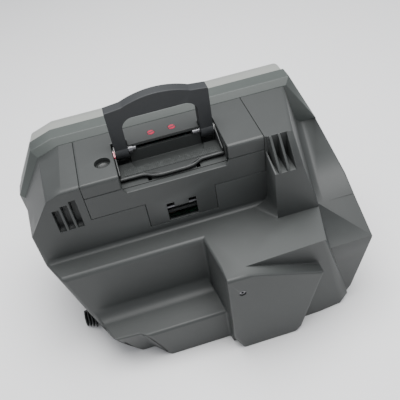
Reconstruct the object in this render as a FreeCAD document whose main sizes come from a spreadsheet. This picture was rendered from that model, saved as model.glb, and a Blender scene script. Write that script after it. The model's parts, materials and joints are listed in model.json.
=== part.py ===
"""Removable lithium battery pack with a folding carry handle and a latch release lever.

Frame: +Z up, +X to the right of the latch panel, +Y from the latch panel to the rear cover.
The pack stands on its flat base at Z = 0, and the origin is at the middle of its footprint.
All lengths are millimetres.
"""
import FreeCAD, Part
import math
import os
import re
import Sketcher

doc = FreeCAD.newDocument("battery_pack")

# ------------------------------------------------------------------ driving dimensions
SIZES = {
    # whole pack
    "body_width": 400, "body_depth": 258, "body_height": 240,
    "wall": 3, "seam_gap": 0.5, "fit_gap": 0.3, "run_gap": 0.05,
    # where the main surfaces stand, from the front, the back and the top
    "panel_setback": 103, "rim_depth": 28, "cover_depth": 40,
    "ledge_drop": 100, "shelf_drop": 185, "ledge_depth": 32, "ledge_slant": 16,
    # outline of the main body, seen from the front
    "shoulder_in": 66, "shoulder_cut": 20, "shoulder_dip": 9, "side_in": 16, "shoulder_drop": 53,
    "toe_in": 44, "heel_in": 38, "heel_rise": 23, "heel_step": 24, "hip_drop": 131,
    # right-hand ridge and the low foot beside it
    "ridge_in": 69, "ridge_yaw": 0.27, "ridge_flare": 0.28,
    "foot_back_drop": 62, "foot_mid_drop": 100.5, "foot_front_drop": 128,
    "foot_mid_setback": 75, "foot_front_setback": 24,
    # plateau, key block and lower left foot
    "plateau_left": 4, "plateau_setback": 13, "key_left": 11, "key_right": 127,
    "key_top_left": 37, "key_slope_drop": 36, "key_foot_right": 100,
    "foot_left_setback": 22, "foot_left_side": 65, "foot_left_mid": 92,
    # combs of slots
    "comb_slot": 7.4, "comb_rib": 3, "comb_drop": 33, "comb_slope": 31, "comb_narrow": 2.7,
    "comb_edge": 2, "comb_edge_drop": 22, "block_depth": 33, "comb_left": 152,
    "comb_top_drop": 16, "comb_low_drop": 57, "comb_depth": 11, "fin_thick": 1.8,
    "fin_pitch": 4.2, "fin_tall": 18,
    # rim frame and rear cover
    "rim_proud": 7, "rim_ramp": 8, "cover_inset": 2, "cover_round": 26,
    # handle housing, its bay and the latch panel
    "housing_half": 105.5, "bay_centre": -8.5, "bay_half": 62.5, "bay_floor_drop": 26,
    "block_half": 43.5, "block_front": 52, "panel_top_drop": 18,
    "panel_low_drop": 50, "tongue_half": 42, "tongue_drop": 87.5, "panel_skin": 3,
    "housing_plate": 4, "channel_setback": 63, "lip_deep": 9, "bay_wall": 3,
    "window_half": 18, "window_top_drop": 59, "window_low_drop": 86,
    # carry handle
    "pivot_setback": 53, "pivot_drop": 6.5, "pivot_rad": 3, "knuckle_rad": 8.6,
    "arm_shift": 1.5, "arm_inner": 43.9, "arm_outer": 59.5, "handle_rise": 51,
    "arch_half": 40, "arch_rad": 104, "palm_round": 13, "grip_under": 38, "handle_thick": 15,
    "spring_wire": 1.5, "spring_deep": 5,
    # release lever
    "wing_gap": 0.6, "wing_thick": 1.8, "wing_slope": 0.376, "wing_crest": 4.8,
    "lever_front": 19, "lever_bulge": 10, "lever_drop": 19.5, "lever_plate": 3, "lever_back": 38,
    "bulge_half": 20,
    # latch slider
    "slider_half": 30, "slider_top_drop": 38, "slider_low_drop": 82, "slider_thick": 5,
    "slider_setback": 9, "bar_rad": 2.4, "bar_drop": 74,
    "link_pin_setback": 24, "link_pin_drop": 41, "link_pin_rad": 1.5, "link_side": 27.5,
    "window_centre": -8.8,
    # power button and status lenses
    "button_in": 13.7, "button_setback": 32, "button_hole": 9.25, "button_rad": 7.4,
    "button_sink": 5.5,
    "lens_rad": 4.6, "lens_pitch": 25.6, "lens_setback": 65,
    # cell block
    "cell_rad": 10.6, "cell_length": 70, "cell_pitch": 22.4, "cell_base": 24,
    "cell_back_gap": 27, "cell_left_in": 68, "cell_right_in": 84, "holder_thick": 8, "plate_thick": 0.4,
    "holder_edge": 2,
    # electronics and wiring
    "board_thick": 2, "board_half": 75, "board_tall": 100, "board_base": 22,
    "cable_rad": 3.2,
    # dock socket, vent and fasteners
    "dock_side": 55, "dock_half": 22, "dock_wide": 12, "dock_setback": 50, "dock_tall": 26,
    "vent_side": -60, "vent_rad": 8, "key_screw_in": 16.5, "key_screw_drop": 28,
    "screw_rad": 2, "screw_head": 3.8, "insert_rad": 3.2, "insert_long": 12, "screw_long": 14,
    "post_rad": 5.5, "screw_sink": 22,
}

sheet = doc.addObject("Spreadsheet::Sheet", "sizes")
for row, (alias, number) in enumerate(SIZES.items(), start=1):
    sheet.set(f"A{row}", alias)
    sheet.set(f"B{row}", str(number))
    sheet.setAlias(f"B{row}", alias)
doc.recompute()

# Named planes of the pack, as expressions on the sheet.
LEFT = "-body_width/2"
RIGHT = "body_width/2"
FRONT = "-body_depth/2"
BACK = "body_depth/2"
TOP = "body_height"
PANEL = f"({FRONT} + panel_setback)"
COVER = f"({BACK} - cover_depth)"
RIM = f"({COVER} - rim_depth)"

BAY_LEFT = "(bay_centre - bay_half)"
BAY_RIGHT = "(bay_centre + bay_half)"
HOUSING_LEFT = "(bay_centre - housing_half)"
HOUSING_RIGHT = "(bay_centre + housing_half)"
PIVOT_Y = f"({PANEL} + pivot_setback)"
PIVOT_Z = f"({TOP} - pivot_drop)"
BAY_FLOOR = f"({TOP} - bay_floor_drop)"
SKIRT = f"({TOP} - panel_top_drop)"
CHANNEL_BACK = f"({PANEL} + channel_setback)"
DOCK_Y = f"({FRONT} + dock_setback)"
CELL_FRONT = f"({BACK} - cell_back_gap - cell_length)"
CELL_LEFT = "(cell_left_in - body_width/2)"
BUTTON_X = "(bay_centre - bay_half - button_in)"
BUTTON_Y = f"({PANEL} + button_setback)"
LENS_Y = f"({PANEL} + lens_setback)"


def bound(text):
    """Turn alias names in an expression into references to the sheet."""
    return re.sub(r"[a-z][a-z_]*", r"sizes.\g<0>", str(text))


def size(name):
    """Current value of a driving dimension."""
    return float(sheet.get(name))


# ------------------------------------------------------------------ sketch and feature helpers
PLANES = {"XY": ("XY_Plane", 1), "XZ": ("XZ_Plane", -1), "YZ": ("YZ_Plane", 1)}


def new_body(name):
    body = doc.addObject("PartDesign::Body", name)
    body.Label = name
    return body


def blank_sketch(body, name, plane, at):
    """Empty sketch on one of the body's own planes, moved along its normal to coordinate at."""
    role, sign = PLANES[plane]
    origin_plane = [f for f in body.Origin.OriginFeatures if f.Role == role][0]
    sketch = body.newObject("Sketcher::SketchObject", name)
    sketch.AttachmentSupport = [(origin_plane, "")]
    sketch.MapMode = "FlatFace"
    sketch.setExpression("AttachmentOffset.Base.z", bound(f"{sign} * ({at})"))
    return sketch


def pin_point(sketch, geometry, end, across, up):
    """Hold one end of a line, or a circle's centre (end 3), at bound coordinates."""
    seed = sketch.getPoint(geometry, end)
    for kind, place, now in (("DistanceX", across, seed.x), ("DistanceY", up, seed.y)):
        index = sketch.addConstraint(Sketcher.Constraint(kind, -1, 1, geometry, end, now))
        sketch.setExpression(f"Constraints[{index}]", bound(place))


def outline(body, name, plane, at, corners):
    """Closed outline; each corner is a pair of expressions.

    A third item is the radius of an arc that bulges outwards from that corner to the next one,
    with the corners in anticlockwise order.
    """
    sketch = blank_sketch(body, name, plane, at)
    count = len(corners)

    def seed(step, radius=50):
        turn = 2 * math.pi * step / count
        return FreeCAD.Vector(radius * math.cos(turn), radius * math.sin(turn), 0)

    edges = []
    for i, corner in enumerate(corners):
        if len(corner) == 3:
            edges.append(Part.Arc(seed(i), seed(i + 0.5, 55), seed(i + 1)))
        else:
            edges.append(Part.LineSegment(seed(i), seed(i + 1)))
    sketch.addGeometry(edges, False)
    for i in range(count):
        joint = Sketcher.Constraint("Coincident", i, 2, (i + 1) % count, 1)
        sketch.addConstraint(joint)
    for i, corner in enumerate(corners):
        pin_point(sketch, i, 1, corner[0], corner[1])
        if len(corner) == 3:
            radius = sketch.Geometry[i].Radius
            index = sketch.addConstraint(Sketcher.Constraint("Radius", i, radius))
            sketch.setExpression(f"Constraints[{index}]", bound(corner[2]))
    return sketch


def discs(body, name, plane, at, radius, centres):
    """Circles of one radius; each centre is a pair of expressions."""
    sketch = blank_sketch(body, name, plane, at)
    for across, up in centres:
        index = sketch.addGeometry(Part.Circle(FreeCAD.Vector(), FreeCAD.Vector(0, 0, 1), 5), False)
        pin_point(sketch, index, 3, across, up)
        round_at = sketch.addConstraint(Sketcher.Constraint("Radius", index, 5.0))
        sketch.setExpression(f"Constraints[{round_at}]", bound(radius))
    return sketch


def extrude(body, name, sketch, plane, length, cut=False, lean=None):
    """Pad or pocket towards the positive axis, or along lean, a direction in the pack's frame."""
    feature = body.newObject("PartDesign::Pocket" if cut else "PartDesign::Pad", name)
    feature.Profile = sketch
    feature.setExpression("Length", bound(length))
    if lean:
        feature.UseCustomVector = True
        feature.Direction = lean
        feature.AlongSketchNormal = True
    else:
        feature.Reversed = (PLANES[plane][1] < 0) != cut
    doc.recompute()
    return feature


def prism(body, name, plane, start, end, corners, cut=False):
    """Straight prism on an outline, from coordinate start to coordinate end."""
    sketch = outline(body, name + "_outline", plane, start, corners)
    return extrude(body, name, sketch, plane, f"({end}) - ({start})", cut)


def block(body, name, low, high, cut=False):
    """Rectangular prism between two corners, each three expressions."""
    corners = [(low[0], low[1]), (high[0], low[1]), (high[0], high[1]), (low[0], high[1])]
    return prism(body, name, "XY", low[2], high[2], corners, cut)


def loft(body, name, first, last):
    """Straight-sided loft between two outlines with the same number of corners."""
    feature = body.newObject("PartDesign::AdditiveLoft", name)
    feature.Profile = first
    feature.Sections = [last]
    feature.Ruled = True
    doc.recompute()
    return feature


def rods(body, name, plane, start, end, radius, centres, cut=False):
    """Round rods or holes of one radius, from coordinate start to coordinate end."""
    sketch = discs(body, name + "_circles", plane, start, radius, centres)
    return extrude(body, name, sketch, plane, f"({end}) - ({start})", cut)


def fillet(body, name, radius, chosen):
    """Round the edges of the body's tip that chosen(edge) accepts."""
    base = body.Tip
    names = [f"Edge{i}" for i, edge in enumerate(base.Shape.Edges, start=1) if chosen(edge)]
    if not names:
        raise RuntimeError(f"{name}: no edge found to round")
    feature = body.newObject("PartDesign::Fillet", name)
    feature.Base = (base, names)
    feature.setExpression("Radius", bound(radius))
    doc.recompute()
    return feature


def middle(edge):
    return edge.valueAt((edge.FirstParameter + edge.LastParameter) / 2)


def along(edge, axis):
    """True when a straight edge runs along an axis (0 X, 1 Y, 2 Z)."""
    start, end = edge.Vertexes[0].Point, edge.Vertexes[-1].Point
    direction = end - start
    return direction.Length > 0.01 and abs(direction[axis]) > 0.999 * direction.Length


def combine(kind, name, base, tool):
    """Part boolean of two objects: Cut, Common or Fuse."""
    result = doc.addObject(f"Part::{kind}", name)
    result.Base = base
    result.Tool = tool
    result.Label = name
    doc.recompute()
    return result


# ------------------------------------------------------------------ outer form of the pack
LEDGE = "(body_height - ledge_drop)"
SHELF = "(body_height - shelf_drop)"
LEDGE_FRONT = f"({PANEL} - ledge_depth)"
PLATEAU = f"({FRONT} + plateau_setback)"
LOW_LEFT = [
    (f"{LEFT} + side_in", LEDGE),
    (f"{LEFT} + toe_in", "0"),
]
LOW_RIGHT = [
    (f"{RIGHT} - heel_in", "0"),
    (f"{RIGHT} - heel_step", "heel_rise"),
    (RIGHT, f"{TOP} - hip_drop"),
]
MAIN_OUTLINE = [
    (f"{LEFT} + shoulder_in", TOP),
    (f"{LEFT} + shoulder_in - shoulder_cut", f"{TOP} - shoulder_dip"),
    (f"{LEFT} + side_in", f"{TOP} - shoulder_drop"),
    *LOW_LEFT, *LOW_RIGHT,
    (RIGHT, TOP),
]


def rim_left(inset):
    """Left half of the rim's outline, from the top down, drawn in by inset."""
    inset = f"({inset})"
    return [
        (f"{LEFT} + shoulder_in - 4 + {inset}", f"{TOP} + rim_proud - {inset}"),
        (f"{LEFT} + shoulder_in - shoulder_cut - 12 + {inset}",
         f"{TOP} - shoulder_dip + 0.9 * rim_proud - {inset}"),
        (f"{LEFT} + {inset}", f"{TOP} - shoulder_drop - 10"),
        (f"{LEFT} + {inset}", LEDGE),
        (f"{LEFT} + toe_in - 4 + {inset}", "0"),
    ]


def make_envelope():
    """Outer form of the front half: panel face, two ledges, key block, ridge and foot."""
    body = new_body("envelope")
    front = outline(body, "main_front", "XZ", PANEL, MAIN_OUTLINE)
    back = outline(body, "main_back", "XZ", RIM, [*rim_left("rim_proud"), *LOW_RIGHT, (RIGHT, TOP)])
    loft(body, "main", front, back)
    # lower left body, leaning inwards as it comes forward
    low = [*LOW_LEFT, ("bay_centre + bay_half", "0"), ("bay_centre + bay_half", LEDGE)]
    sketch = outline(body, "low_left_outline", "XZ", PANEL, low)
    lean = FreeCAD.Vector(size("ledge_slant"), -size("ledge_depth"), 0)
    extrude(body, "low_left", sketch, "XZ", "ledge_depth", lean=lean)
    # foot below the shelf: a loft from the shelf down to the base
    low_side = f"{LEFT} + side_in + (toe_in - side_in) * ({LEDGE} - {SHELF}) / {LEDGE}"
    upper = [
        (low_side, PANEL), (f"{low_side} + ledge_slant", LEDGE_FRONT),
        (f"{LEFT} + foot_left_side", f"{FRONT} + 2 * plateau_setback + plateau_setback"),
        (f"{LEFT} + foot_left_side + 4", f"{FRONT} + foot_left_setback + 8"),
        (f"{LEFT} + foot_left_side + 36", f"{FRONT} + foot_left_setback + 6"),
        (f"{LEFT} + foot_left_side + 44", f"{FRONT} + foot_left_setback"),
        ("key_left + 8", f"{FRONT} + foot_left_setback"), ("key_left + 8", PANEL),
    ]
    lower = [
        (f"{LEFT} + toe_in", PANEL), (f"{LEFT} + toe_in + ledge_slant", LEDGE_FRONT),
        (f"{LEFT} + foot_left_mid", f"{FRONT} + 2 * foot_left_setback"),
        (f"{LEFT} + foot_left_mid + 3", f"{FRONT} + 2 * foot_left_setback - 3"),
        (f"{LEFT} + foot_left_mid + 20", f"{FRONT} + 2 * foot_left_setback - 3"),
        (f"{LEFT} + foot_left_mid + 38", f"{FRONT} + foot_left_setback"),
        ("key_left + 8", f"{FRONT} + foot_left_setback"), ("key_left + 8", PANEL),
    ]
    base = outline(body, "foot_left_base", "XY", "0", lower)
    loft(body, "foot_left", base, outline(body, "foot_left_shelf", "XY", SHELF, upper))
    # ribbed foot at the lower left corner: upright fins on a back web
    toe = f"({LEFT} + toe_in - 15)"
    web = f"({PANEL} + 12)"
    block(body, "toe_web", (toe, web, "0"), (f"{toe} + 22", f"{web} + wall", "fin_tall"))
    for i in range(4):
        low_x = f"({toe} + {i} * fin_pitch)"
        reach = f"({web} - 15 - {2 * i})"
        side = [
            (f"{web} + 1", "0"), (f"{web} + 1", "fin_tall"), (f"{web} - 8", "fin_tall"),
            (reach, "fin_tall - 6"), (reach, "4"), (f"{web} - 10", "0"),
        ]
        prism(body, f"toe_fin_{i}", "YZ", low_x, f"{low_x} + fin_thick", side)
    # plateau block right of the side wall
    plan = [
        ("plateau_left", PANEL), ("plateau_left", LEDGE_FRONT), ("key_left", PLATEAU),
        (f"{RIGHT} - ridge_in", f"{PLATEAU} + 4"), (RIGHT, f"{FRONT} + foot_front_setback"),
        (RIGHT, PANEL),
    ]
    prism(body, "plateau", "XY", "0", LEDGE, plan)
    # key block standing forward of the plateau block
    key = [
        ("key_left", LEDGE), ("key_left", "heel_rise"), ("key_left + 9", "0"),
        ("key_foot_right - 7", "0"), ("key_foot_right", "8"),
        ("key_right", f"{LEDGE} - key_slope_drop"), ("key_top_left", LEDGE),
    ]
    prism(body, "key_block", "XZ", FRONT, f"{PLATEAU} + 12", key)
    # right block with a sloping top, between the panel and the plateau
    side = [
        (PANEL, TOP), (f"{PANEL} - 2", TOP),
        (f"{PANEL} - comb_slope + 1", f"{TOP} - comb_slope"),
        (f"{PANEL} - block_depth", LEDGE), (PANEL, LEDGE),
    ]
    prism(body, "right_block", "YZ", f"{HOUSING_RIGHT} + seam_gap", RIGHT, side)
    # ridge: everything right of a leaning plane is cleared, then the low foot is added
    start = f"({PANEL} - body_depth/2)"
    edge = f"{RIGHT} - ridge_in - ridge_yaw * body_depth/2"
    slope = [
        (f"{edge} - 10 * ridge_flare", f"{TOP} + 10"),
        (f"{edge} + body_height * ridge_flare", "0"),
        (f"{RIGHT} + 90", "0"), (f"{RIGHT} + 90", f"{TOP} + 10"),
    ]
    clear = outline(body, "ridge_outline", "XZ", start, slope)
    lean = FreeCAD.Vector(size("ridge_yaw"), 1, 0)
    extrude(body, "ridge", clear, "XZ", "body_depth * 1.5", cut=True, lean=lean)
    foot = [
        (RIM, f"{TOP} - foot_back_drop"),
        (f"{PANEL} - 2", f"{TOP} - foot_mid_drop + 14"),
        (f"{FRONT} + foot_mid_setback", f"{TOP} - foot_mid_drop"),
        (f"{FRONT} + foot_front_setback + 2", f"{TOP} - foot_front_drop"),
        (f"{FRONT} + foot_front_setback", "0"), (RIM, "0"),
    ]
    prism(body, "foot", "YZ", "key_foot_right + 30", RIGHT, foot)
    # lower right side leans in towards the base
    trim = [
        (f"{RIGHT} - heel_in - 20", "0"), (f"{RIGHT} - heel_in", "0"),
        (f"{RIGHT} - heel_step", "heel_rise"), (RIGHT, f"{TOP} - hip_drop"),
        (f"{RIGHT} + 30", f"{TOP} - hip_drop"), (f"{RIGHT} + 30", "-20"),
        (f"{RIGHT} - heel_in - 20", "-20"),
    ]
    prism(body, "hip", "XZ", f"{FRONT} - 10", f"{RIM} + 10", trim, cut=True)
    return body


envelope = make_envelope()


# ------------------------------------------------------------------ shared outlines
def inner_outline(extra):
    """Outline of the hollow inside the main body, seen from the front."""
    gap = f"(wall + {extra})"
    return [
        (f"{LEFT} + shoulder_in + {gap}/2", f"{TOP} - {gap}"),
        (f"{LEFT} + shoulder_in - shoulder_cut + {gap}", f"{TOP} - shoulder_dip - {gap}"),
        (f"{LEFT} + side_in + {gap} + 1", f"{TOP} - shoulder_drop - 5"),
        (f"{LEFT} + side_in + {gap} + 1", LEDGE),
        (f"{LEFT} + toe_in + {gap} + 1", gap),
        (f"{RIGHT} - heel_in - {gap} - 1", gap),
        (f"{RIGHT} - heel_step - {gap} - 1", "heel_rise"),
        (f"{RIGHT} - {gap} - 1", f"{TOP} - hip_drop"),
        (f"{RIGHT} - {gap} - 1", f"{TOP} - foot_mid_drop + 10 - {gap}"),
        (f"{RIGHT} - ridge_in + ridge_flare * foot_mid_drop - 4 - 2 * {gap}",
         f"{TOP} - foot_mid_drop + 10 - {gap}"),
        (f"{RIGHT} - ridge_in - 3 - {gap}", f"{TOP} - {gap}"),
    ]


# Screw places of the rear cover, on the solid ring of the rim frame.
COVER_SCREWS = [
    (f"{LEFT} + toe_in + 2.5", "14"), (f"{LEFT} + 13", f"{LEDGE} + 10"),
    (f"{LEFT} + shoulder_in + 34", f"{TOP} - 3"), ("40", f"{TOP} - 3"),
    (f"{RIGHT} - ridge_in - 21", f"{TOP} - 3"), (f"{RIGHT} - 20", f"{TOP} - foot_back_drop - 18"),
    (f"{RIGHT} - heel_in + 0.5", "14"),
]


def rim_outline(inset, right_inset=None):
    """Outline of the rim frame and the rear cover, drawn in by inset."""
    right = f"({right_inset or inset})"
    low = [(across, inset if up == "0" else up) for across, up in rim_left(inset)]
    return [
        *low,
        (f"{RIGHT} - heel_in + 2 - {right}", inset),
        (f"{RIGHT} - heel_step + 2 - {right}", "heel_rise"),
        (f"{RIGHT} - {right}", f"{TOP} - hip_drop"),
        (f"{RIGHT} - {right}", f"{TOP} - foot_back_drop"),
        (f"{RIGHT} - ridge_in/2 - ({inset})", f"{TOP} + rim_proud - ({inset})"),
    ]


# ------------------------------------------------------------------ casing
def make_front_shell():
    """Front shell: the envelope hollowed out, cut back for the housing and the latch panel."""
    hollow = new_body("front_shell_hollow")
    prism(hollow, "main_hollow", "XZ", f"{PANEL} + wall", f"{RIM} + 1", inner_outline("0"))
    # the left comb keeps solid plastic behind and around it
    block(hollow, "comb_backing", ("-comb_left - wall", PANEL, f"{TOP} - comb_low_drop - wall"),
          ("-comb_left + 3 * comb_slot + 2 * comb_rib + wall", f"{PANEL} + comb_depth + wall", TOP),
          cut=True)
    block(hollow, "key_hollow", ("key_left + 2 * wall", f"{PLATEAU} + 3 * wall", "wall"),
          (f"{RIGHT} - ridge_in - 2 * wall", f"{PANEL} + 2 * wall", f"{LEDGE} - wall"))
    block(hollow, "low_hollow", (f"{LEFT} + toe_in + ledge_slant + 2 * wall",
                                 f"{LEDGE_FRONT} + wall", "wall"),
          ("key_left + 3 * wall", f"{PANEL} + 2 * wall", f"{LEDGE} - wall"))
    block(hollow, "toe_hollow", (f"{LEFT} + foot_left_mid + 6", f"{FRONT} + 2 * foot_left_setback + wall",
                                 "wall"),
          ("plateau_left", f"{LEDGE_FRONT} + 2 * wall", f"{SHELF} - wall"))
    block(hollow, "heel_hollow", ("key_foot_right + 10", f"{FRONT} + foot_front_setback + 3 * wall", "wall"),
          (f"{RIGHT} - heel_in - 3 * wall", f"{PANEL} + 2 * wall", f"{TOP} - foot_front_drop - 2 * wall"))
    # room for the handle housing and for the T-shaped latch panel
    gap = "seam_gap"
    block(hollow, "housing_room", (f"{HOUSING_LEFT} - {gap}", f"{PANEL} - 5", f"{SKIRT} - {gap}"),
          (f"{HOUSING_RIGHT} + {gap}", f"{RIM} + 1", f"{TOP} + 5"))
    panel_low = f"({TOP} - panel_low_drop - {gap})"
    tongue_low = f"({TOP} - tongue_drop - {gap})"
    tee = [
        (f"{HOUSING_LEFT} - {gap}", f"{SKIRT}"), (f"{HOUSING_LEFT} - {gap}", panel_low),
        (f"bay_centre - tongue_half - {gap}", panel_low),
        (f"bay_centre - tongue_half - {gap}", tongue_low),
        (f"bay_centre + tongue_half + {gap}", tongue_low),
        (f"bay_centre + tongue_half + {gap}", panel_low),
        (f"{HOUSING_RIGHT} + {gap}", panel_low), (f"{HOUSING_RIGHT} + {gap}", f"{SKIRT}"),
    ]
    prism(hollow, "panel_room", "XZ", f"{PANEL} - 5", f"{PANEL} + 2 * wall", tee)
    # finger combs: upright slots in the right block and in the left face
    slot_front, slot_back = f"{PANEL} - block_depth - 5", f"{PANEL} - 1"
    block_left = f"({HOUSING_RIGHT} + seam_gap)"
    narrow = f"({block_left} + comb_edge)"
    block(hollow, "right_slot_narrow", (narrow, slot_front, f"{TOP} - comb_drop"),
          (f"{narrow} + comb_narrow", slot_back, f"{TOP} + 5"))
    edge = [
        (slot_front, f"{TOP} - comb_drop"), (f"{PANEL} - comb_slope", f"{TOP} - comb_drop"),
        (PANEL, f"{TOP} - comb_edge_drop"), (PANEL, f"{TOP} + 5"), (slot_front, f"{TOP} + 5"),
    ]
    prism(hollow, "right_edge", "YZ", f"{block_left} - 2", f"{narrow} + 0.1", edge)
    for i in range(2):
        left = f"({narrow} + comb_narrow + comb_rib + {i} * (comb_slot + comb_rib))"
        block(hollow, f"right_slot_{i}", (left, slot_front, f"{TOP} - comb_drop"),
              (f"{left} + comb_slot", slot_back, f"{TOP} + 5"))
    for i in range(3):
        left = f"(-comb_left + {i} * (comb_slot + comb_rib))"
        block(hollow, f"left_slot_{i}", (left, f"{PANEL} - 5", f"{TOP} - comb_low_drop"),
              (f"{left} + comb_slot", f"{PANEL} + comb_depth", f"{TOP} - comb_top_drop - 8 + {4 * i}"))
    # socket opening, vent hole and screw hole
    block(hollow, "dock_hole",
          ("dock_side - dock_half - seam_gap", f"{DOCK_Y} - dock_wide - seam_gap", "-1"),
          ("dock_side + dock_half + seam_gap", f"{DOCK_Y} + dock_wide + seam_gap", "2 * wall"))
    rods(hollow, "vent_hole", "XY", "-1", "2 * wall", "vent_rad + fit_gap", [("vent_side", f"{PANEL} + 20")])
    rods(hollow, "key_screw_hole", "XZ", f"{FRONT} - 1", f"{FRONT} + 3 * wall + plateau_setback",
         "screw_head + fit_gap", [("key_left + key_screw_in", f"{LEDGE} - key_screw_drop")])
    return combine("Cut", "front_shell", envelope, hollow)

def make_handle_housing():
    """Top cap between the seams: plate, front skirt and the tub of the handle bay."""
    body = new_body("handle_housing")
    front_skirt = f"{PANEL} + housing_plate"
    block(body, "plate", (HOUSING_LEFT, PANEL, f"{TOP} - housing_plate"), (HOUSING_RIGHT, RIM, TOP))
    block(body, "skirt", (HOUSING_LEFT, PANEL, SKIRT),
          (HOUSING_RIGHT, front_skirt, f"{TOP} - housing_plate"))
    tub_back = f"{CHANNEL_BACK} + bay_wall"
    block(body, "tub", (f"{BAY_LEFT} - bay_wall", f"{PANEL} + lip_deep + seam_gap",
                        f"{BAY_FLOOR} - bay_wall"),
          (f"{BAY_RIGHT} + bay_wall", tub_back, TOP))
    block(body, "bay", (BAY_LEFT, f"{PANEL} - 5", BAY_FLOOR), (BAY_RIGHT, CHANNEL_BACK, f"{TOP} + 5"),
          cut=True)
    # the middle block between the two handle arms, hollow underneath
    low, high = f"{BAY_FLOOR} - bay_wall", TOP
    block(body, "middle", ("bay_centre - block_half", f"{PANEL} + block_front", low),
          ("bay_centre + block_half", f"{RIM} - 1", high))
    block(body, "middle_hollow",
          ("bay_centre - block_half + 10", f"{PANEL} + block_front + bay_wall", f"{low} - 1"),
          ("bay_centre + block_half - 10", f"{RIM} + 1", f"{TOP} - housing_plate"), cut=True)
    # floor slots for the two lever links
    for side in (-1, 1):
        inner, outer = f"bay_centre + {side} * (link_side - 0.6)", f"bay_centre + {side} * (link_side + 3.6)"
        low_x, high_x = (inner, outer) if side > 0 else (outer, inner)
        block(body, f"link_slot_{side + 1}",
              (low_x, f"{PANEL} + link_pin_setback - 13", f"{low} - 1"),
              (high_x, f"{PANEL} + link_pin_setback + 7", f"{BAY_FLOOR} + 1"), cut=True)
    # holes: pivot pins, power button, status lenses
    pivot = [(PIVOT_Y, PIVOT_Z)]
    rods(body, "pin_hole", "YZ", f"{BAY_LEFT} - bay_wall - 1", f"{BAY_RIGHT} + bay_wall + 1",
         "pivot_rad", pivot, cut=True)
    low, high = span(-1, "block_half - spring_deep", "block_half + 1")
    rods(body, "spring_pocket", "YZ", low, high, "pivot_rad + spring_wire + 2 * fit_gap", pivot, cut=True)
    rods(body, "button_hole", "XY", f"{TOP} - housing_plate - 1", f"{TOP} + 1", "button_hole",
         [(BUTTON_X, BUTTON_Y)], cut=True)
    lenses = [(f"bay_centre + {side} * lens_pitch/2", LENS_Y) for side in (-1, 1)]
    rods(body, "lens_holes", "XY", f"{TOP} - housing_plate - 1", f"{TOP} + 1", "lens_rad", lenses,
         cut=True)
    return body


def make_latch_panel():
    """T-shaped front panel with the lip of the handle bay and the striker window."""
    body = new_body("latch_panel")
    low = f"({TOP} - panel_low_drop)"
    tongue = f"({TOP} - tongue_drop)"
    gap = "seam_gap"
    tee = [
        (HOUSING_LEFT, f"{SKIRT} - {gap}"), (HOUSING_LEFT, low),
        ("bay_centre - tongue_half", low), ("bay_centre - tongue_half", tongue),
        ("bay_centre + tongue_half", tongue), ("bay_centre + tongue_half", low),
        (HOUSING_RIGHT, low), (HOUSING_RIGHT, f"{SKIRT} - {gap}"),
        (f"{BAY_RIGHT} + {gap}", f"{SKIRT} - {gap}"), (f"{BAY_RIGHT} - 4", BAY_FLOOR),
        (f"{BAY_LEFT} + 4", BAY_FLOOR), (f"{BAY_LEFT} - {gap}", f"{SKIRT} - {gap}"),
    ]
    prism(body, "tee", "XZ", PANEL, f"{PANEL} + panel_skin", tee)
    block(body, "lip", (f"{BAY_LEFT} + 1", f"{PANEL} + 1", f"{BAY_FLOOR} - bay_wall"),
          (f"{BAY_RIGHT} - 1", f"{PANEL} + lip_deep", BAY_FLOOR))
    centre = "window_centre"
    high = f"({TOP} - window_top_drop)"
    base = f"({TOP} - window_low_drop)"
    notch = [
        (f"{centre} - window_half", base), (f"{centre} + window_half", base),
        (f"{centre} + window_half", high), (f"{centre} + window_half - 9", high),
        (f"{centre} + window_half - 9", f"{high} - 7"),
        (f"{centre} - window_half + 9", f"{high} - 7"), (f"{centre} - window_half + 9", high),
        (f"{centre} - window_half", high),
    ]
    prism(body, "window", "XZ", f"{PANEL} - 1", f"{PANEL} + panel_skin + 1", notch, cut=True)
    return body


def make_rim_frame():
    """Frame between the front shell and the rear cover, standing proud all round."""
    body = new_body("rim_frame")
    low = outline(body, "ramp_low", "XZ", RIM, rim_outline("rim_proud", "seam_gap"))
    high = outline(body, "ramp_high", "XZ", f"{RIM} + rim_ramp", rim_outline("0"))
    loft(body, "ramp", low, high)
    prism(body, "frame", "XZ", f"{RIM} + rim_ramp", COVER, rim_outline("0"))
    prism(body, "frame_opening", "XZ", f"{RIM} - 1", f"{COVER} + 1", inner_outline("2 * wall"), cut=True)
    rods(body, "insert_holes", "XZ", f"{COVER} - insert_long", f"{COVER} + 1", "insert_rad",
         COVER_SCREWS, cut=True)
    return body


def make_rear_cover():
    """Silver rear cover: a shallow domed tray."""
    body = new_body("rear_cover")
    prism(body, "tray", "XZ", f"{COVER} + seam_gap", BACK, rim_outline("cover_inset"))
    back = size("body_depth") / 2

    def on_back(edge):
        return all(abs(vertex.Point.y - back) < 0.1 for vertex in edge.Vertexes)

    fillet(body, "crown", "cover_round", on_back)
    # hollowed in three steps that follow the rounded crown
    steps = [
        ("wall", "cover_round"), ("0.3 * cover_round", "cover_round/2"),
        ("0.6 * cover_round", "2 * wall + 1"),
    ]
    for i, (inset, skin) in enumerate(steps):
        prism(body, f"tray_hollow_{i}", "XZ", COVER, f"{BACK} - ({skin})",
              rim_outline(f"cover_inset + {inset}"), cut=True)
    rods(body, "posts", "XZ", f"{COVER} + seam_gap", f"{BACK} - screw_sink + wall", "post_rad",
         COVER_SCREWS)
    rods(body, "post_holes", "XZ", COVER, f"{BACK} + 1", "screw_rad + fit_gap", COVER_SCREWS, cut=True)
    rods(body, "head_holes", "XZ", f"{BACK} - screw_sink", f"{BACK} + 1", "screw_head + fit_gap",
         COVER_SCREWS, cut=True)
    return body


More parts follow.
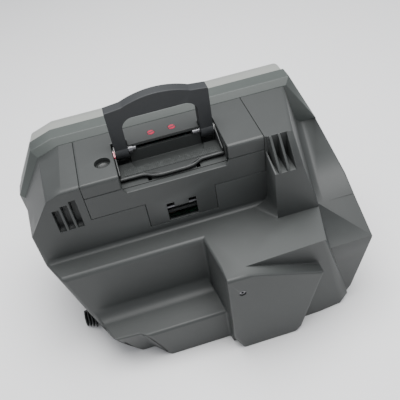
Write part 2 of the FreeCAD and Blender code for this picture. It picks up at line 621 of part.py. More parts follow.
def make_main_gasket():
    """Seal ring between the front shell and the rim frame's inner wall."""
    body = new_body("main_gasket")
    prism(body, "ring", "XZ", COVER, f"{COVER} + seam_gap", rim_outline("2 * cover_inset"))
    rods(body, "screw_holes", "XZ", f"{COVER} - 1", f"{COVER} + 2", "insert_rad", COVER_SCREWS, cut=True)
    prism(body, "ring_opening", "XZ", f"{COVER} - 1", f"{COVER} + 2", inner_outline("2 * wall"), cut=True)
    return body


# ------------------------------------------------------------------ carry handle
def both_sides(body, name, make):
    """Call make(name, side) for the left (-1) and the right (+1) side."""
    for side, word in ((-1, "left"), (1, "right")):
        make(f"{name}_{word}", side)


def span(side, inner, outer):
    """Low and high X of something between two distances from the bay's middle."""
    if side > 0:
        return f"(bay_centre + {inner})", f"(bay_centre + {outer})"
    return f"(bay_centre - ({outer}))", f"(bay_centre - ({inner}))"


def make_carry_handle():
    """Folding carry handle: two arms on the pivot pins and an arched grip between them."""
    body = new_body("carry_handle")
    near = f"({PIVOT_Y} + arm_shift - handle_thick/2)"
    far = f"({PIVOT_Y} + arm_shift + handle_thick/2)"
    shoulder = f"({TOP} + handle_rise)"
    under = f"({TOP} + grip_under)"
    u_shape = [
        ("bay_centre - arm_outer", PIVOT_Z), ("bay_centre - arm_inner", PIVOT_Z),
        ("bay_centre - arm_inner", under), ("bay_centre + arm_inner", under),
        ("bay_centre + arm_inner", PIVOT_Z), ("bay_centre + arm_outer", PIVOT_Z),
        ("bay_centre + arm_outer", shoulder), ("bay_centre + arch_half", f"{shoulder} + 2", "arch_rad"),
        ("bay_centre - arch_half", f"{shoulder} + 2"), ("bay_centre - arm_outer", shoulder),
    ]
    prism(body, "bow", "XZ", near, far, u_shape)
    inner_corner = [size("bay_centre") - size("arm_inner"), size("bay_centre") + size("arm_inner")]

    def under_grip(edge):
        place = middle(edge)
        level = abs(place.z - size("body_height") - size("grip_under")) < 0.1
        return along(edge, 1) and level and min(abs(place.x - x) for x in inner_corner) < 0.1

    fillet(body, "palm_round", "palm_round", under_grip)
    for side in (-1, 1):
        low, high = span(side, "arm_inner", "arm_outer")
        rods(body, f"knuckle_{side + 1}", "YZ", low, high, "knuckle_rad", [(PIVOT_Y, PIVOT_Z)])
    rods(body, "pin_bore", "YZ", "bay_centre - arm_outer - 1", "bay_centre + arm_outer + 1",
         "pivot_rad + run_gap", [(PIVOT_Y, PIVOT_Z)], cut=True)
    return body


def make_pivot_pins():
    """Steel pivot pins, pressed through the bay walls into the middle block."""
    body = new_body("pivot_pins")
    for side, word in ((-1, "left"), (1, "right")):
        low, high = span(side, "block_half - 9", "bay_half + bay_wall")
        rods(body, f"pin_{word}", "YZ", low, high, "pivot_rad", [(PIVOT_Y, PIVOT_Z)])
    return body


# ------------------------------------------------------------------ release lever and latch slider
def wing_top(forward):
    """Height of the lever wings' upper edge at a distance forward of the pivot."""
    return f"({PIVOT_Z} + wing_crest - wing_slope * ({forward}))"


def make_release_lever():
    """Latch release lever: two wings on the pivot pins and a cross plate with a waved lip."""
    body = new_body("release_lever")
    plate_top = f"({TOP} - lever_drop)"
    plate_low = f"({plate_top} - lever_plate)"
    outer = "(bay_half - wing_gap)"
    side_front = f"({PANEL} + lever_front)"
    wave = [
        (f"bay_centre - {outer}", side_front), ("bay_centre - bulge_half - 12", side_front),
        ("bay_centre - bulge_half/2 - 2", f"{PANEL} + lever_bulge"),
        ("bay_centre + bulge_half/2 + 6", f"{PANEL} + lever_bulge"),
        ("bay_centre + bulge_half + 12", side_front), (f"bay_centre + {outer}", side_front),
        (f"bay_centre + {outer}", f"{PANEL} + lever_back + 6"),
        ("bay_centre + block_half + 1", f"{PANEL} + lever_back + 6"),
        ("bay_centre + block_half - 2", f"{PANEL} + lever_back - 6"),
        ("bay_centre - block_half + 2", f"{PANEL} + lever_back - 6"),
        ("bay_centre - block_half - 1", f"{PANEL} + lever_back + 6"),
        (f"bay_centre - {outer}", f"{PANEL} + lever_back + 6"),
    ]
    prism(body, "plate", "XY", plate_low, plate_top, wave)
    wing = [
        (side_front, plate_low), (f"{PIVOT_Y} - 3", plate_low),
        (f"{PIVOT_Y} + knuckle_rad - 1", f"{PIVOT_Z} - 4"),
        (f"{PIVOT_Y} + knuckle_rad - 1", f"{PIVOT_Z} + 2"), (PIVOT_Y, wing_top("0")),
        (side_front, wing_top("pivot_setback - lever_front")),
    ]
    for side in (-1, 1):
        low, high = span(side, f"{outer} - wing_thick", outer)
        prism(body, f"wing_{side + 1}", "YZ", low, high, wing)
        # link arm through the bay floor, with the pin that lifts the slider
        low, high = span(side, "link_side", "link_side + 3")
        block(body, f"link_{side + 1}",
              (low, f"{PANEL} + link_pin_setback - 4", f"{TOP} - link_pin_drop - 2.5"),
              (high, f"{PANEL} + link_pin_setback + 2", plate_low))
        low, high = span(side, "link_side - 4.5", "link_side + 3")
        rods(body, f"link_pin_{side + 1}", "YZ", low, high, "link_pin_rad",
             [(f"{PANEL} + link_pin_setback", f"{TOP} - link_pin_drop")])
    rods(body, "pin_bore", "YZ", f"{BAY_LEFT} - 1", f"{BAY_RIGHT} + 1", "pivot_rad + run_gap",
         [(PIVOT_Y, PIVOT_Z)], cut=True)
    return body


def make_lever_tread():
    """Ribbed rubber tread let into the top of the lever plate."""
    body = new_body("lever_tread")
    plate_top = f"({TOP} - lever_drop)"
    low = (f"bay_centre - bulge_half - 10", f"{PANEL} + lever_front + 3", plate_top)
    high = (f"bay_centre + bulge_half + 10", f"{PANEL} + lever_back - 8", f"{plate_top} + 0.6")
    block(body, "mat", low, high)
    for i in range(5):
        left = f"(bay_centre - bulge_half - 8 + {i} * 12)"
        block(body, f"rib_{i}", (left, f"{PANEL} + lever_front + 3.5", f"{plate_top} + 0.6"),
              (f"{left} + 8", f"{PANEL} + lever_back - 8.5", f"{plate_top} + 1.2"))
    return body


def make_lock_flag():
    """Small red flag on top of the lever's left wing."""
    body = new_body("lock_flag")
    outer = "(bay_half - wing_gap)"
    low, high = span(-1, f"{outer} - wing_thick", outer)
    side = [
        (f"{PIVOT_Y} - 12", wing_top("12")), (f"{PIVOT_Y} - 4", wing_top("4")),
        (f"{PIVOT_Y} - 4", f"{wing_top('4')} + 1.5"), (f"{PIVOT_Y} - 12", f"{wing_top('12')} + 2.2"),
    ]
    prism(body, "flag", "YZ", low, high, side)
    return body


def make_latch_slider():
    """Slider behind the latch panel: a frame for the striker bar and two slotted tongues."""
    body = new_body("latch_slider")
    near = f"({PANEL} + slider_setback)"
    far = f"({near} + slider_thick)"
    low, high = f"({TOP} - slider_low_drop)", f"({TOP} - slider_top_drop - 8)"
    block(body, "frame", ("bay_centre - slider_half", near, low), ("bay_centre + slider_half", far, high))
    block(body, "frame_window", ("bay_centre - window_half - 2", f"{near} - 1", f"{low} + 4"),
          ("bay_centre + window_half + 2", f"{far} + 1", f"{high} - 6"), cut=True)
    for side in (-1, 1):
        left, right = span(side, "link_side - 3.5", "link_side - 0.5")
        block(body, f"tongue_{side + 1}", (left, near, f"{TOP} - link_pin_drop - 6"),
              (right, f"{PANEL} + link_pin_setback + 6", f"{TOP} - link_pin_drop + 4"))
        block(body, f"slot_{side + 1}",
              (f"{left} - 1", f"{PANEL} + link_pin_setback - 10.5", f"{TOP} - link_pin_drop - 2"),
              (f"{right} + 1", f"{PANEL} + link_pin_setback + 2", f"{TOP} - link_pin_drop + 2"), cut=True)
    rods(body, "bar_seat", "YZ", "bay_centre - slider_half - 1", "bay_centre + slider_half + 1",
         "bar_rad", [(f"{near} + slider_thick/2", f"{TOP} - bar_drop")], cut=True)
    return body


def make_striker_bar():
    """Steel bar across the slider, seen through the window; it holds the pack in its dock."""
    body = new_body("striker_bar")
    rods(body, "bar", "YZ", "bay_centre - slider_half + 2", "bay_centre + slider_half - 2", "bar_rad",
         [(f"{PANEL} + slider_setback + slider_thick/2", f"{TOP} - bar_drop")])
    return body


def make_slider_guides():
    """Two guide rails that hold the slider against the back of the panel."""
    body = new_body("slider_guides")
    back = f"({PANEL} + slider_setback + slider_thick)"
    for side, word in ((-1, "left"), (1, "right")):
        low, high = span(side, "slider_half + fit_gap", "slider_half + 6")
        block(body, f"rail_{word}", (low, f"{PANEL} + panel_skin", f"{TOP} - slider_low_drop - 3"),
              (high, f"{back} + 2.5", f"{TOP} - slider_top_drop - 4"))
        low, high = span(side, "slider_half - 4", "slider_half + 6")
        block(body, f"keeper_{word}", (low, f"{back} + fit_gap", f"{TOP} - slider_low_drop - 3"),
              (high, f"{back} + 2.5", f"{TOP} - slider_low_drop + 22"))
    return body


# ------------------------------------------------------------------ button, lenses and springs
def make_power_button():
    """Round power button, sunk in its hole in the housing plate."""
    body = new_body("power_button")
    top = f"({TOP} - button_sink)"
    place = [(BUTTON_X, BUTTON_Y)]
    rods(body, "cap", "XY", f"{top} - 3", top, "button_rad", place)
    rods(body, "stem", "XY", f"{top} - 6", f"{top} - 3", "button_rad - 4", place)
    return body


def make_button_cup():
    """Cup under the housing plate that guides the button."""
    body = new_body("button_cup")
    low = f"({TOP} - button_sink - 11)"
    high = f"({TOP} - housing_plate)"
    place = [(BUTTON_X, BUTTON_Y)]
    rods(body, "cup", "XY", low, high, "button_hole + 1.4", place)
    rods(body, "cup_mouth", "XY", f"{high} - 2", f"{high} + 1", "button_hole", place, cut=True)
    rods(body, "cup_bore", "XY", f"{low} + 2", f"{high} + 1", "button_rad + fit_gap", place, cut=True)
    return body


def make_button_spring():
    """Silicone return dome under the button."""
    body = new_body("button_spring")
    low = f"({TOP} - button_sink - 9)"
    rods(body, "dome", "XY", low, f"{TOP} - button_sink - 6", "button_rad - 3", [(BUTTON_X, BUTTON_Y)])
    return body


def make_status_lenses():
    """Two red status lenses, flush in the top of the middle block."""
    body = new_body("status_lenses")
    places = [(f"bay_centre + {side} * lens_pitch/2", LENS_Y) for side in (-1, 1)]
    rods(body, "lens", "XY", f"{TOP} - housing_plate", TOP, "lens_rad", places)
    return body


def make_status_board():
    """Small circuit board with a lamp under each lens."""
    body = new_body("status_board")
    top = f"({TOP} - housing_plate - 3)"
    block(body, "board", ("bay_centre - lens_pitch/2 - 12", f"{LENS_Y} - 4", f"{top} - board_thick"),
          ("bay_centre + lens_pitch/2 + 12", f"{LENS_Y} + 10", top))
    for side in (-1, 1):
        across = f"(bay_centre + {side} * lens_pitch/2)"
        block(body, f"lamp_{side + 1}", (f"{across} - 1.5", f"{LENS_Y} - 1.5", top),
              (f"{across} + 1.5", f"{LENS_Y} + 1.5", f"{top} + 1.2"))
    return body


def make_slider_springs():
    """Two compression springs between the slider and the underside of the bay floor."""
    low = size("body_height") - size("slider_top_drop") - 8
    high = size("body_height") - size("bay_floor_drop") - size("bay_wall")
    across = size("slider_half") - 14
    y_place = size("panel_setback") - size("body_depth") / 2 + size("slider_setback")
    turns, wire_rad, coil_rad = 5, 0.5, 2
    height = high - low - 2 * wire_rad - 0.4
    coils = []
    for side in (-1, 1):
        helix = Part.makeHelix(height / turns, height, coil_rad)
        start = FreeCAD.Vector(coil_rad, 0, 0)
        section = Part.Wire(Part.makeCircle(wire_rad, start, FreeCAD.Vector(0, 1, 0)))
        coil = Part.Wire(helix.Edges).makePipeShell([section], True, True)
        coil.translate(FreeCAD.Vector(size("bay_centre") + side * across,
                                      y_place + size("slider_thick") / 2, low + wire_rad + 0.2))
        coils.append(coil)
    feature = doc.addObject("Part::Feature", "slider_springs")
    feature.Label = "slider_springs"
    feature.Shape = Part.makeCompound(coils)
    return feature


def make_lever_spring():
    """Torsion spring on the left pivot pin, in a pocket of the middle block."""
    body = new_body("lever_spring")
    low, high = span(-1, "block_half - spring_deep + fit_gap", "block_half - fit_gap")
    rods(body, "coil", "YZ", low, high, "pivot_rad + fit_gap + spring_wire", [(PIVOT_Y, PIVOT_Z)])
    rods(body, "coil_bore", "YZ", f"{low} - 1", f"{high} + 1", "pivot_rad + fit_gap",
         [(PIVOT_Y, PIVOT_Z)], cut=True)
    return body


def make_friction_washers():
    """Nylon washers between the handle arms and the lever wings."""
    body = new_body("friction_washers")
    for side, word in ((-1, "left"), (1, "right")):
        low, high = span(side, "arm_outer + run_gap", "bay_half - wing_gap - wing_thick - run_gap")
        rods(body, f"washer_{word}", "YZ", low, high, "knuckle_rad - 2", [(PIVOT_Y, PIVOT_Z)])
    rods(body, "washer_bore", "YZ", BAY_LEFT, BAY_RIGHT, "pivot_rad + run_gap", [(PIVOT_Y, PIVOT_Z)],
         cut=True)
    return body


# ------------------------------------------------------------------ cell block
CELL_WIDE = size("cell_pitch")
CELL_SPACE = size("body_width") - size("cell_left_in") - size("cell_right_in")
COLUMNS = int(CELL_SPACE // CELL_WIDE) + 1
CELL_ROOM = size("body_height") - size("bay_floor_drop") - size("cell_base") - size("cell_pitch")
ROWS = int(CELL_ROOM // CELL_WIDE) + 1
CELL_PLACES = [
    (f"{CELL_LEFT} + {column} * cell_pitch", f"cell_base + {row} * cell_pitch")
    for column in range(COLUMNS) for row in range(ROWS)
]


def cell_plate(body, name, start, end, edge):
    """Rectangular plate over the whole cell block."""
    low = (f"{CELL_LEFT} - cell_pitch/2 - {edge}", start, f"cell_base - cell_pitch/2 - {edge}")
    high = (f"{CELL_LEFT} + {COLUMNS - 1} * cell_pitch + cell_pitch/2 + {edge}", end,
            f"cell_base + {ROWS - 1} * cell_pitch + cell_pitch/2 + {edge}")
    return block(body, name, low, high)


def make_cells():
    """Cylindrical lithium cells, axes along Y."""
    body = new_body("cells")
    rods(body, "cell", "XZ", CELL_FRONT, f"{CELL_FRONT} + cell_length", "cell_rad", CELL_PLACES)
    return body


def make_cell_holder(name, start):
    """Plastic honeycomb that spaces one end of the cells."""
    body = new_body(name)
    end = f"{start} + holder_thick"
    cell_plate(body, name + "_plate", start, end, "holder_edge")
    rods(body, name + "_holes", "XZ", f"{start} - 1", f"{end} + 1", "cell_rad + fit_gap/2", CELL_PLACES,
         cut=True)
    return body


def make_bus_plates(name, start):
    """Nickel plates that join the cells of each group, in column pairs."""
    body = new_body(name)
    for pair in range((COLUMNS + 1) // 2):
        first = 2 * pair
        last = min(first + 1, COLUMNS - 1)
        block(body, f"{name}_{pair}",
              (f"{CELL_LEFT} + {first} * cell_pitch - 8", start, "cell_base - 7"),
              (f"{CELL_LEFT} + {last} * cell_pitch + 8", f"{start} + plate_thick",
               f"cell_base + {ROWS - 1} * cell_pitch + 7"))
    return body


# ------------------------------------------------------------------ electronics
BOARD_Y = f"({CELL_FRONT} - 16)"


def make_bms_board():
    """Battery management board, upright in front of the cells."""
    body = new_body("bms_board")
    block(body, "board", ("-board_half", BOARD_Y, "board_base"),
          ("board_half", f"{BOARD_Y} + board_thick", "board_base + board_tall"))
    return body


def make_bms_heatsink():
    """Aluminium spreader plate with ribs, bolted to the front of the board."""
    body = new_body("bms_heatsink")
    low, high = f"({BOARD_Y} - 3)", BOARD_Y
    block(body, "spreader", ("-board_half + 6", low, "board_base + board_tall - 34"),
          ("board_half - 6", high, "board_base + board_tall - 4"))
    for i in range(9):
        left = f"(-board_half + 10 + {i} * 15)"
        block(body, f"rib_{i}", (left, f"{low} - 6", "board_base + board_tall - 34"),
              (f"{left} + 3", low, "board_base + board_tall - 4"))
    return body


def make_bms_switches():
    """Row of power transistors on the board, under the spreader's lower edge."""
    body = new_body("bms_switches")
    for i in range(8):
        left = f"(-board_half + 12 + {i} * 17)"
        block(body, f"switch_{i}", (left, f"{BOARD_Y} - 4", "board_base + board_tall - 52"),
              (f"{left} + 10", BOARD_Y, "board_base + board_tall - 37"))
    return body


def make_bms_capacitors():
    """Electrolytic capacitors standing on the board."""
    body = new_body("bms_capacitors")
    places = [(f"-board_half + 20 + {i} * 16", "board_base + 30") for i in range(4)]
    rods(body, "can", "XZ", f"{BOARD_Y} - 12", BOARD_Y, "5", places)
    return body


def make_main_fuse():
    """Blade fuse block at the foot of the board."""
    body = new_body("main_fuse")
    block(body, "holder", ("board_half - 44", f"{BOARD_Y} - 9", "board_base + 8"),
          ("board_half - 8", BOARD_Y, "board_base + 24"))
    block(body, "blade", ("board_half - 38", f"{BOARD_Y} - 15", "board_base + 11"),
          ("board_half - 14", f"{BOARD_Y} - 9", "board_base + 21"))
    return body


def make_dock_socket():
    """Output socket in the base: an open cup that faces down."""
    body = new_body("dock_socket")
    low = ("dock_side - dock_half", f"{DOCK_Y} - dock_wide", "0.4")
    high = ("dock_side + dock_half", f"{DOCK_Y} + dock_wide", "dock_tall")
    block(body, "shell", low, high)
    block(body, "flange", ("dock_side - dock_half - 6", f"{DOCK_Y} - dock_wide - 4", "wall"),
          ("dock_side + dock_half + 6", f"{DOCK_Y} + dock_wide + 4", "wall + 3"))
    block(body, "shell_hollow", ("dock_side - dock_half + 2.5", f"{DOCK_Y} - dock_wide + 2.5", "-1"),
          ("dock_side + dock_half - 2.5", f"{DOCK_Y} + dock_wide - 2.5", "dock_tall - 6"), cut=True)
    return body


def make_contact_blades():
    """Copper blades of the output socket."""
    body = new_body("contact_blades")
    for i in range(3):
        across = f"(dock_side + {i - 1} * 12)"
        block(body, f"blade_{i}", (f"{across} - 0.75", f"{DOCK_Y} - 6", "7"),
              (f"{across} + 0.75", f"{DOCK_Y} + 6", "dock_tall - 6"))
    return body


def make_vent_valve():
    """Pressure vent plug in the base."""
    body = new_body("vent_valve")
    place = [("vent_side", f"{PANEL} + 20")]
    rods(body, "plug", "XY", "0.6", "wall", "vent_rad", place)
    rods(body, "plug_flange", "XY", "wall", "wall + 2", "vent_rad + 3", place)
    rods(body, "plug_bore", "XY", "-1", "2", "vent_rad - 3", place, cut=True)
    return body


def cable(name, points, bend):
    """Round cable of straight runs joined by tangent arcs."""
    edges = []
    last = points[0]
    for before, corner, after in zip(points, points[1:], points[2:]):
        into = (corner - before).normalize()
        out = (after - corner).normalize()
        turn = into.getAngle(out)
        reach = bend * math.tan(turn / 2)
        start, end = corner - into * reach, corner + out * reach
        inward = (out - into).normalize()
        centre = corner + inward * (bend / math.cos(turn / 2))
        arc_middle = centre - inward * bend
        edges.append(Part.LineSegment(last, start).toShape())
        edges.append(Part.Arc(start, arc_middle, end).toShape())
        last = end
    edges.append(Part.LineSegment(last, points[-1]).toShape())
    route = Part.Wire(edges)
    aim = points[1] - points[0]
    section = Part.Wire(Part.makeCircle(size("cable_rad"), points[0], aim))
    tube = route.makePipeShell([section], True, True)
    feature = doc.addObject("Part::Feature", name)
    feature.Label = name
    feature.Shape = tube
    return feature


def make_power_cable(name, side):
    """Power lead from the dock socket up to the board."""
    front = -size("body_depth") / 2
    dock_y = front + size("dock_setback")
    board_y = size("body_depth") / 2 - size("cell_back_gap") - size("cell_length") - 16
    across = size("dock_side") + side * 12
    rise = size("dock_tall") + 16
    points = [
        FreeCAD.Vector(across, dock_y, size("dock_tall")),
        FreeCAD.Vector(across, dock_y, rise),
        FreeCAD.Vector(across - 40, board_y - 24, rise),
        FreeCAD.Vector(across - 40, board_y, rise),
    ]
    return cable(name, points, 2.4 * size("cable_rad"))


def make_positive_cable():
    return make_power_cable("positive_cable", -1)


def make_negative_cable():
    return make_power_cable("negative_cable", 1)


# ------------------------------------------------------------------ fasteners
def make_key_screw():
    """Self-tapping screw in the key block."""
    body = new_body("key_screw")
    place = [("key_left + key_screw_in", f"{LEDGE} - key_screw_drop")]
    face = f"({FRONT} + 1.5)"
    rods(body, "head", "XZ", face, f"{face} + 2.6", "screw_head", place)
    rods(body, "shank", "XZ", f"{face} + 2.6", f"{face} + 2.6 + screw_long", "screw_rad", place)
    rods(body, "drive", "XZ", f"{face} - 1", f"{face} + 1.6", "1.6", place, cut=True)
    return body


def make_cover_screws():
    """Cap screws of the rear cover, sunk in its posts."""
    body = new_body("cover_screws")
    seat = f"({BACK} - screw_sink)"
    rods(body, "heads", "XZ", seat, f"{seat} + 3", "screw_head", COVER_SCREWS)
    rods(body, "shanks", "XZ", f"{COVER} - insert_long + 1", seat, "screw_rad", COVER_SCREWS)
    rods(body, "drives", "XZ", f"{seat} + 1", f"{seat} + 4", "1.6", COVER_SCREWS, cut=True)
    return body


def make_screw_inserts():
    """Brass threaded inserts in the rim frame."""
    body = new_body("screw_inserts")
    start = f"({COVER} - insert_long)"
    rods(body, "sleeves", "XZ", start, COVER, "insert_rad", COVER_SCREWS)
    rods(body, "sleeve_bores", "XZ", f"{start} - 1", f"{COVER} + 1", "screw_rad + run_gap",
         COVER_SCREWS, cut=True)
    return body


def make_foam_pad():
    """Foam pad between the cell block and the rear cover."""
    body = new_body("foam_pad")
    start = f"({CELL_FRONT} + cell_length + plate_thick)"
    block(body, "pad", (f"{CELL_LEFT} + 6", start, "cell_base + 4"),
          (f"{CELL_LEFT} + {COLUMNS - 1} * cell_pitch - 6", f"{start} + 8",
           f"cell_base + {ROWS - 1} * cell_pitch - 4"))
    return body


def make_sense_ribbon():
    """Flat voltage-sense ribbon from the board to the nickel plates."""
    body = new_body("sense_ribbon")
    block(body, "ribbon", ("-30", f"{BOARD_Y} + board_thick", "board_base + board_tall - 12"),
          ("-8", f"{CELL_FRONT} - plate_thick", "board_base + board_tall - 11"))
    return body


MAKERS = [
    make_front_shell, make_handle_housing, make_latch_panel, make_rim_frame, make_rear_cover,
    make_main_gasket, make_carry_handle, make_pivot_pins, make_release_lever, make_lever_tread,
    make_lock_flag, make_latch_slider, make_striker_bar, make_slider_guides, make_power_button,
    make_button_cup, make_button_spring, make_status_lenses, make_status_board,
    make_slider_springs, make_lever_spring, make_cells, make_bms_board, make_bms_heatsink,
    make_bms_switches, make_bms_capacitors, make_main_fuse, make_dock_socket,
    make_contact_blades, make_vent_valve, make_positive_cable, make_negative_cable,
    make_key_screw, make_friction_washers, make_cover_screws, make_screw_inserts,
    make_foam_pad, make_sense_ribbon,
]
pieces = [make() for make in MAKERS]
pieces.append(make_cell_holder("front_cell_holder", f"{CELL_FRONT} + 1"))
pieces.append(make_cell_holder("rear_cell_holder", f"{CELL_FRONT} + cell_length - holder_thick - 1"))
pieces.append(make_bus_plates("front_bus_plates", f"{CELL_FRONT} - plate_thick"))
pieces.append(make_bus_plates("rear_bus_plates", f"{CELL_FRONT} + cell_length"))


# ------------------------------------------------------------------ checks and export
doc.recompute()
for item in doc.Objects:
    if "Invalid" in item.State or "Error" in item.State:
        raise RuntimeError(f"{item.Name} did not compute: {item.State}")
for piece in pieces:
    if piece.Shape.isNull() or not piece.Shape.isValid() or not piece.Shape.Solids:
        raise RuntimeError(f"{piece.Label} has no valid solid")

os.makedirs("parts", exist_ok=True)
for piece in pieces:
    piece.Shape.exportStep(f"parts/{piece.Label}.step")
print(f"{len(pieces)} pieces written")
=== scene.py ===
"""Looks of a removable lithium battery pack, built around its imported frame.

Places and rounds on the pack are in millimetres, which MM turns into metres, and the stage is in
metres. The axes are the frame's own: +Z up, +Y from the latch panel to the rear cover.
"""

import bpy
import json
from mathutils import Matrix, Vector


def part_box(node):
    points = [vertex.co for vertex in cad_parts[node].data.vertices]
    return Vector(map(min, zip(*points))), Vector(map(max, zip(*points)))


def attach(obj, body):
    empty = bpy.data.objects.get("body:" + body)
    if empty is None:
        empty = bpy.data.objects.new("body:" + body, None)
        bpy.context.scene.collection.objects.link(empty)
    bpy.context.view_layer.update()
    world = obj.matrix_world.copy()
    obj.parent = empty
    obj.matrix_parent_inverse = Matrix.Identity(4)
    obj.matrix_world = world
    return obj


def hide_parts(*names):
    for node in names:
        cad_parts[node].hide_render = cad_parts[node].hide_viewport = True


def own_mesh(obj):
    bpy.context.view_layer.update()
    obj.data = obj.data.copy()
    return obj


bl_info = {
    "name": "Battery pack looks",
    "version": (1, 0, 0),
    "blender": (4, 5, 0),
    "location": "3D View > Sidebar > Pack",
    "description": "Builds the visible shells, lever, handle and finishes of a battery pack",
    "category": "Object",
}

import json
import math

import bmesh
import bpy
from mathutils import Matrix, Vector
from mathutils.bvhtree import BVHTree
from mathutils.geometry import intersect_point_line

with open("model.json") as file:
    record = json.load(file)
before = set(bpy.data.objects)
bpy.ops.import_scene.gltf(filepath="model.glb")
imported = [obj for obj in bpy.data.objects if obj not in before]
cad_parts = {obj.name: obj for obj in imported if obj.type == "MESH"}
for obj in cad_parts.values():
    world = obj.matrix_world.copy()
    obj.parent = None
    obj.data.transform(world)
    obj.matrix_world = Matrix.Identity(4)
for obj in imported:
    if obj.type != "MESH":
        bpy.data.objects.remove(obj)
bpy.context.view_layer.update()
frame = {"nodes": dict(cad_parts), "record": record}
NODES = frame["nodes"]
MM = 0.001


def corners(node):
    """Lowest and highest corners of a node, in millimetres."""
    low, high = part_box(node)
    return Vector(low) / MM, Vector(high) / MM


# Places that the shells share, in millimetres, read from the frame.
HOUSING_LOW, HOUSING_HIGH = corners("handle_housing")
PANEL_LOW, PANEL_HIGH = corners("latch_panel")
SHELL_LOW, SHELL_HIGH = corners("front_shell")
RIM_BACK = corners("rim_frame")[1].y
LEVER_LOW, LEVER_HIGH = corners("release_lever")
TREAD_LOW = corners("lever_tread")[0]
LENS_LOW, LENS_HIGH = corners("status_lenses")
BUTTON_LOW, BUTTON_HIGH = corners("power_button")
TOP = HOUSING_HIGH.z
PANEL = HOUSING_LOW.y
LEDGE_DROP, SHELF_DROP, LEDGE_DEPTH = 100, 185, 32
LEDGE = TOP - LEDGE_DROP
SHELF = TOP - SHELF_DROP
LEDGE_FRONT = PANEL - LEDGE_DEPTH
SEAM_GAP, WING_GAP = 0.5, 0.6
SEAM_LEFT = HOUSING_LOW.x - SEAM_GAP
SEAM_RIGHT = HOUSING_HIGH.x + SEAM_GAP
BAY_LEFT = LEVER_LOW.x - WING_GAP
BAY_RIGHT = LEVER_HIGH.x + WING_GAP
BAY_MIDDLE = (BAY_LEFT + BAY_RIGHT) / 2


# ------------------------------------------------------------------ user settings
class PackShape(bpy.types.PropertyGroup):
    """Edge rounds of the moulded shells."""
    cove: bpy.props.FloatProperty(
        name="Ledge cove", description="Round where the panel meets the ledge", unit="LENGTH",
        default=11 * MM, min=1 * MM)
    shelf_cove: bpy.props.FloatProperty(
        name="Shelf cove", description="Round where the low wall meets the shelf", unit="LENGTH",
        default=26 * MM, min=1 * MM)
    foot_cove: bpy.props.FloatProperty(
        name="Foot cove", description="Round between the ridge and the side foot", unit="LENGTH",
        default=20 * MM, min=1 * MM)
    brow: bpy.props.FloatProperty(
        name="Brow round", description="Round of the top front edge", unit="LENGTH",
        default=5 * MM, min=0.5 * MM)
    edge: bpy.props.FloatProperty(
        name="Edge round", description="Round of the other outer edges", unit="LENGTH",
        default=2.2 * MM, min=0.2 * MM)
    seam: bpy.props.FloatProperty(
        name="Seam round", description="Round along the seams between shells", unit="LENGTH",
        default=0.5 * MM, min=0.1 * MM)


class PackColours(bpy.types.PropertyGroup):
    """Colours of the visible finishes."""
    shell: bpy.props.FloatVectorProperty(
        name="Shell", description="Moulded plastic of the case", subtype="COLOR", size=3,
        default=(0.037, 0.040, 0.039), min=0, max=1)
    rim: bpy.props.FloatVectorProperty(
        name="Rim", description="Moulded plastic of the rim frame", subtype="COLOR", size=3,
        default=(0.052, 0.060, 0.056), min=0, max=1)
    handle: bpy.props.FloatVectorProperty(
        name="Handle", description="Glass-filled plastic of the handle", subtype="COLOR", size=3,
        default=(0.019, 0.021, 0.023), min=0, max=1)
    cover: bpy.props.FloatVectorProperty(
        name="Rear cover", description="Satin silver paint", subtype="COLOR", size=3,
        default=(0.30, 0.31, 0.29), min=0, max=1)
    mark: bpy.props.FloatVectorProperty(
        name="Marks", description="Red lenses and flag", subtype="COLOR", size=3,
        default=(0.55, 0.025, 0.075), min=0, max=1)


# ------------------------------------------------------------------ shader maths
class Value:
    """A node socket that can be used in Python expressions."""

    def __init__(self, finish, socket):
        self.finish, self.socket = finish, socket

    def math(self, operation, other):
        return self.finish.node("ShaderNodeMath", {"operation": operation}, {0: self, 1: other})

    def __add__(self, other):
        return self.math("ADD", other)

    def __sub__(self, other):
        return self.math("SUBTRACT", other)

    def __mul__(self, other):
        return self.math("MULTIPLY", other)

    def band(self, low, high):
        """0 below low, 1 above high, a smooth step between."""
        settings = {"interpolation_type": "SMOOTHSTEP"}
        return self.finish.node("ShaderNodeMapRange", settings, {0: self, 1: low, 2: high})


# Shader sockets whose label isn't just the capitalised name.
LABELS = {"specular_ior_level": "Specular IOR Level"}


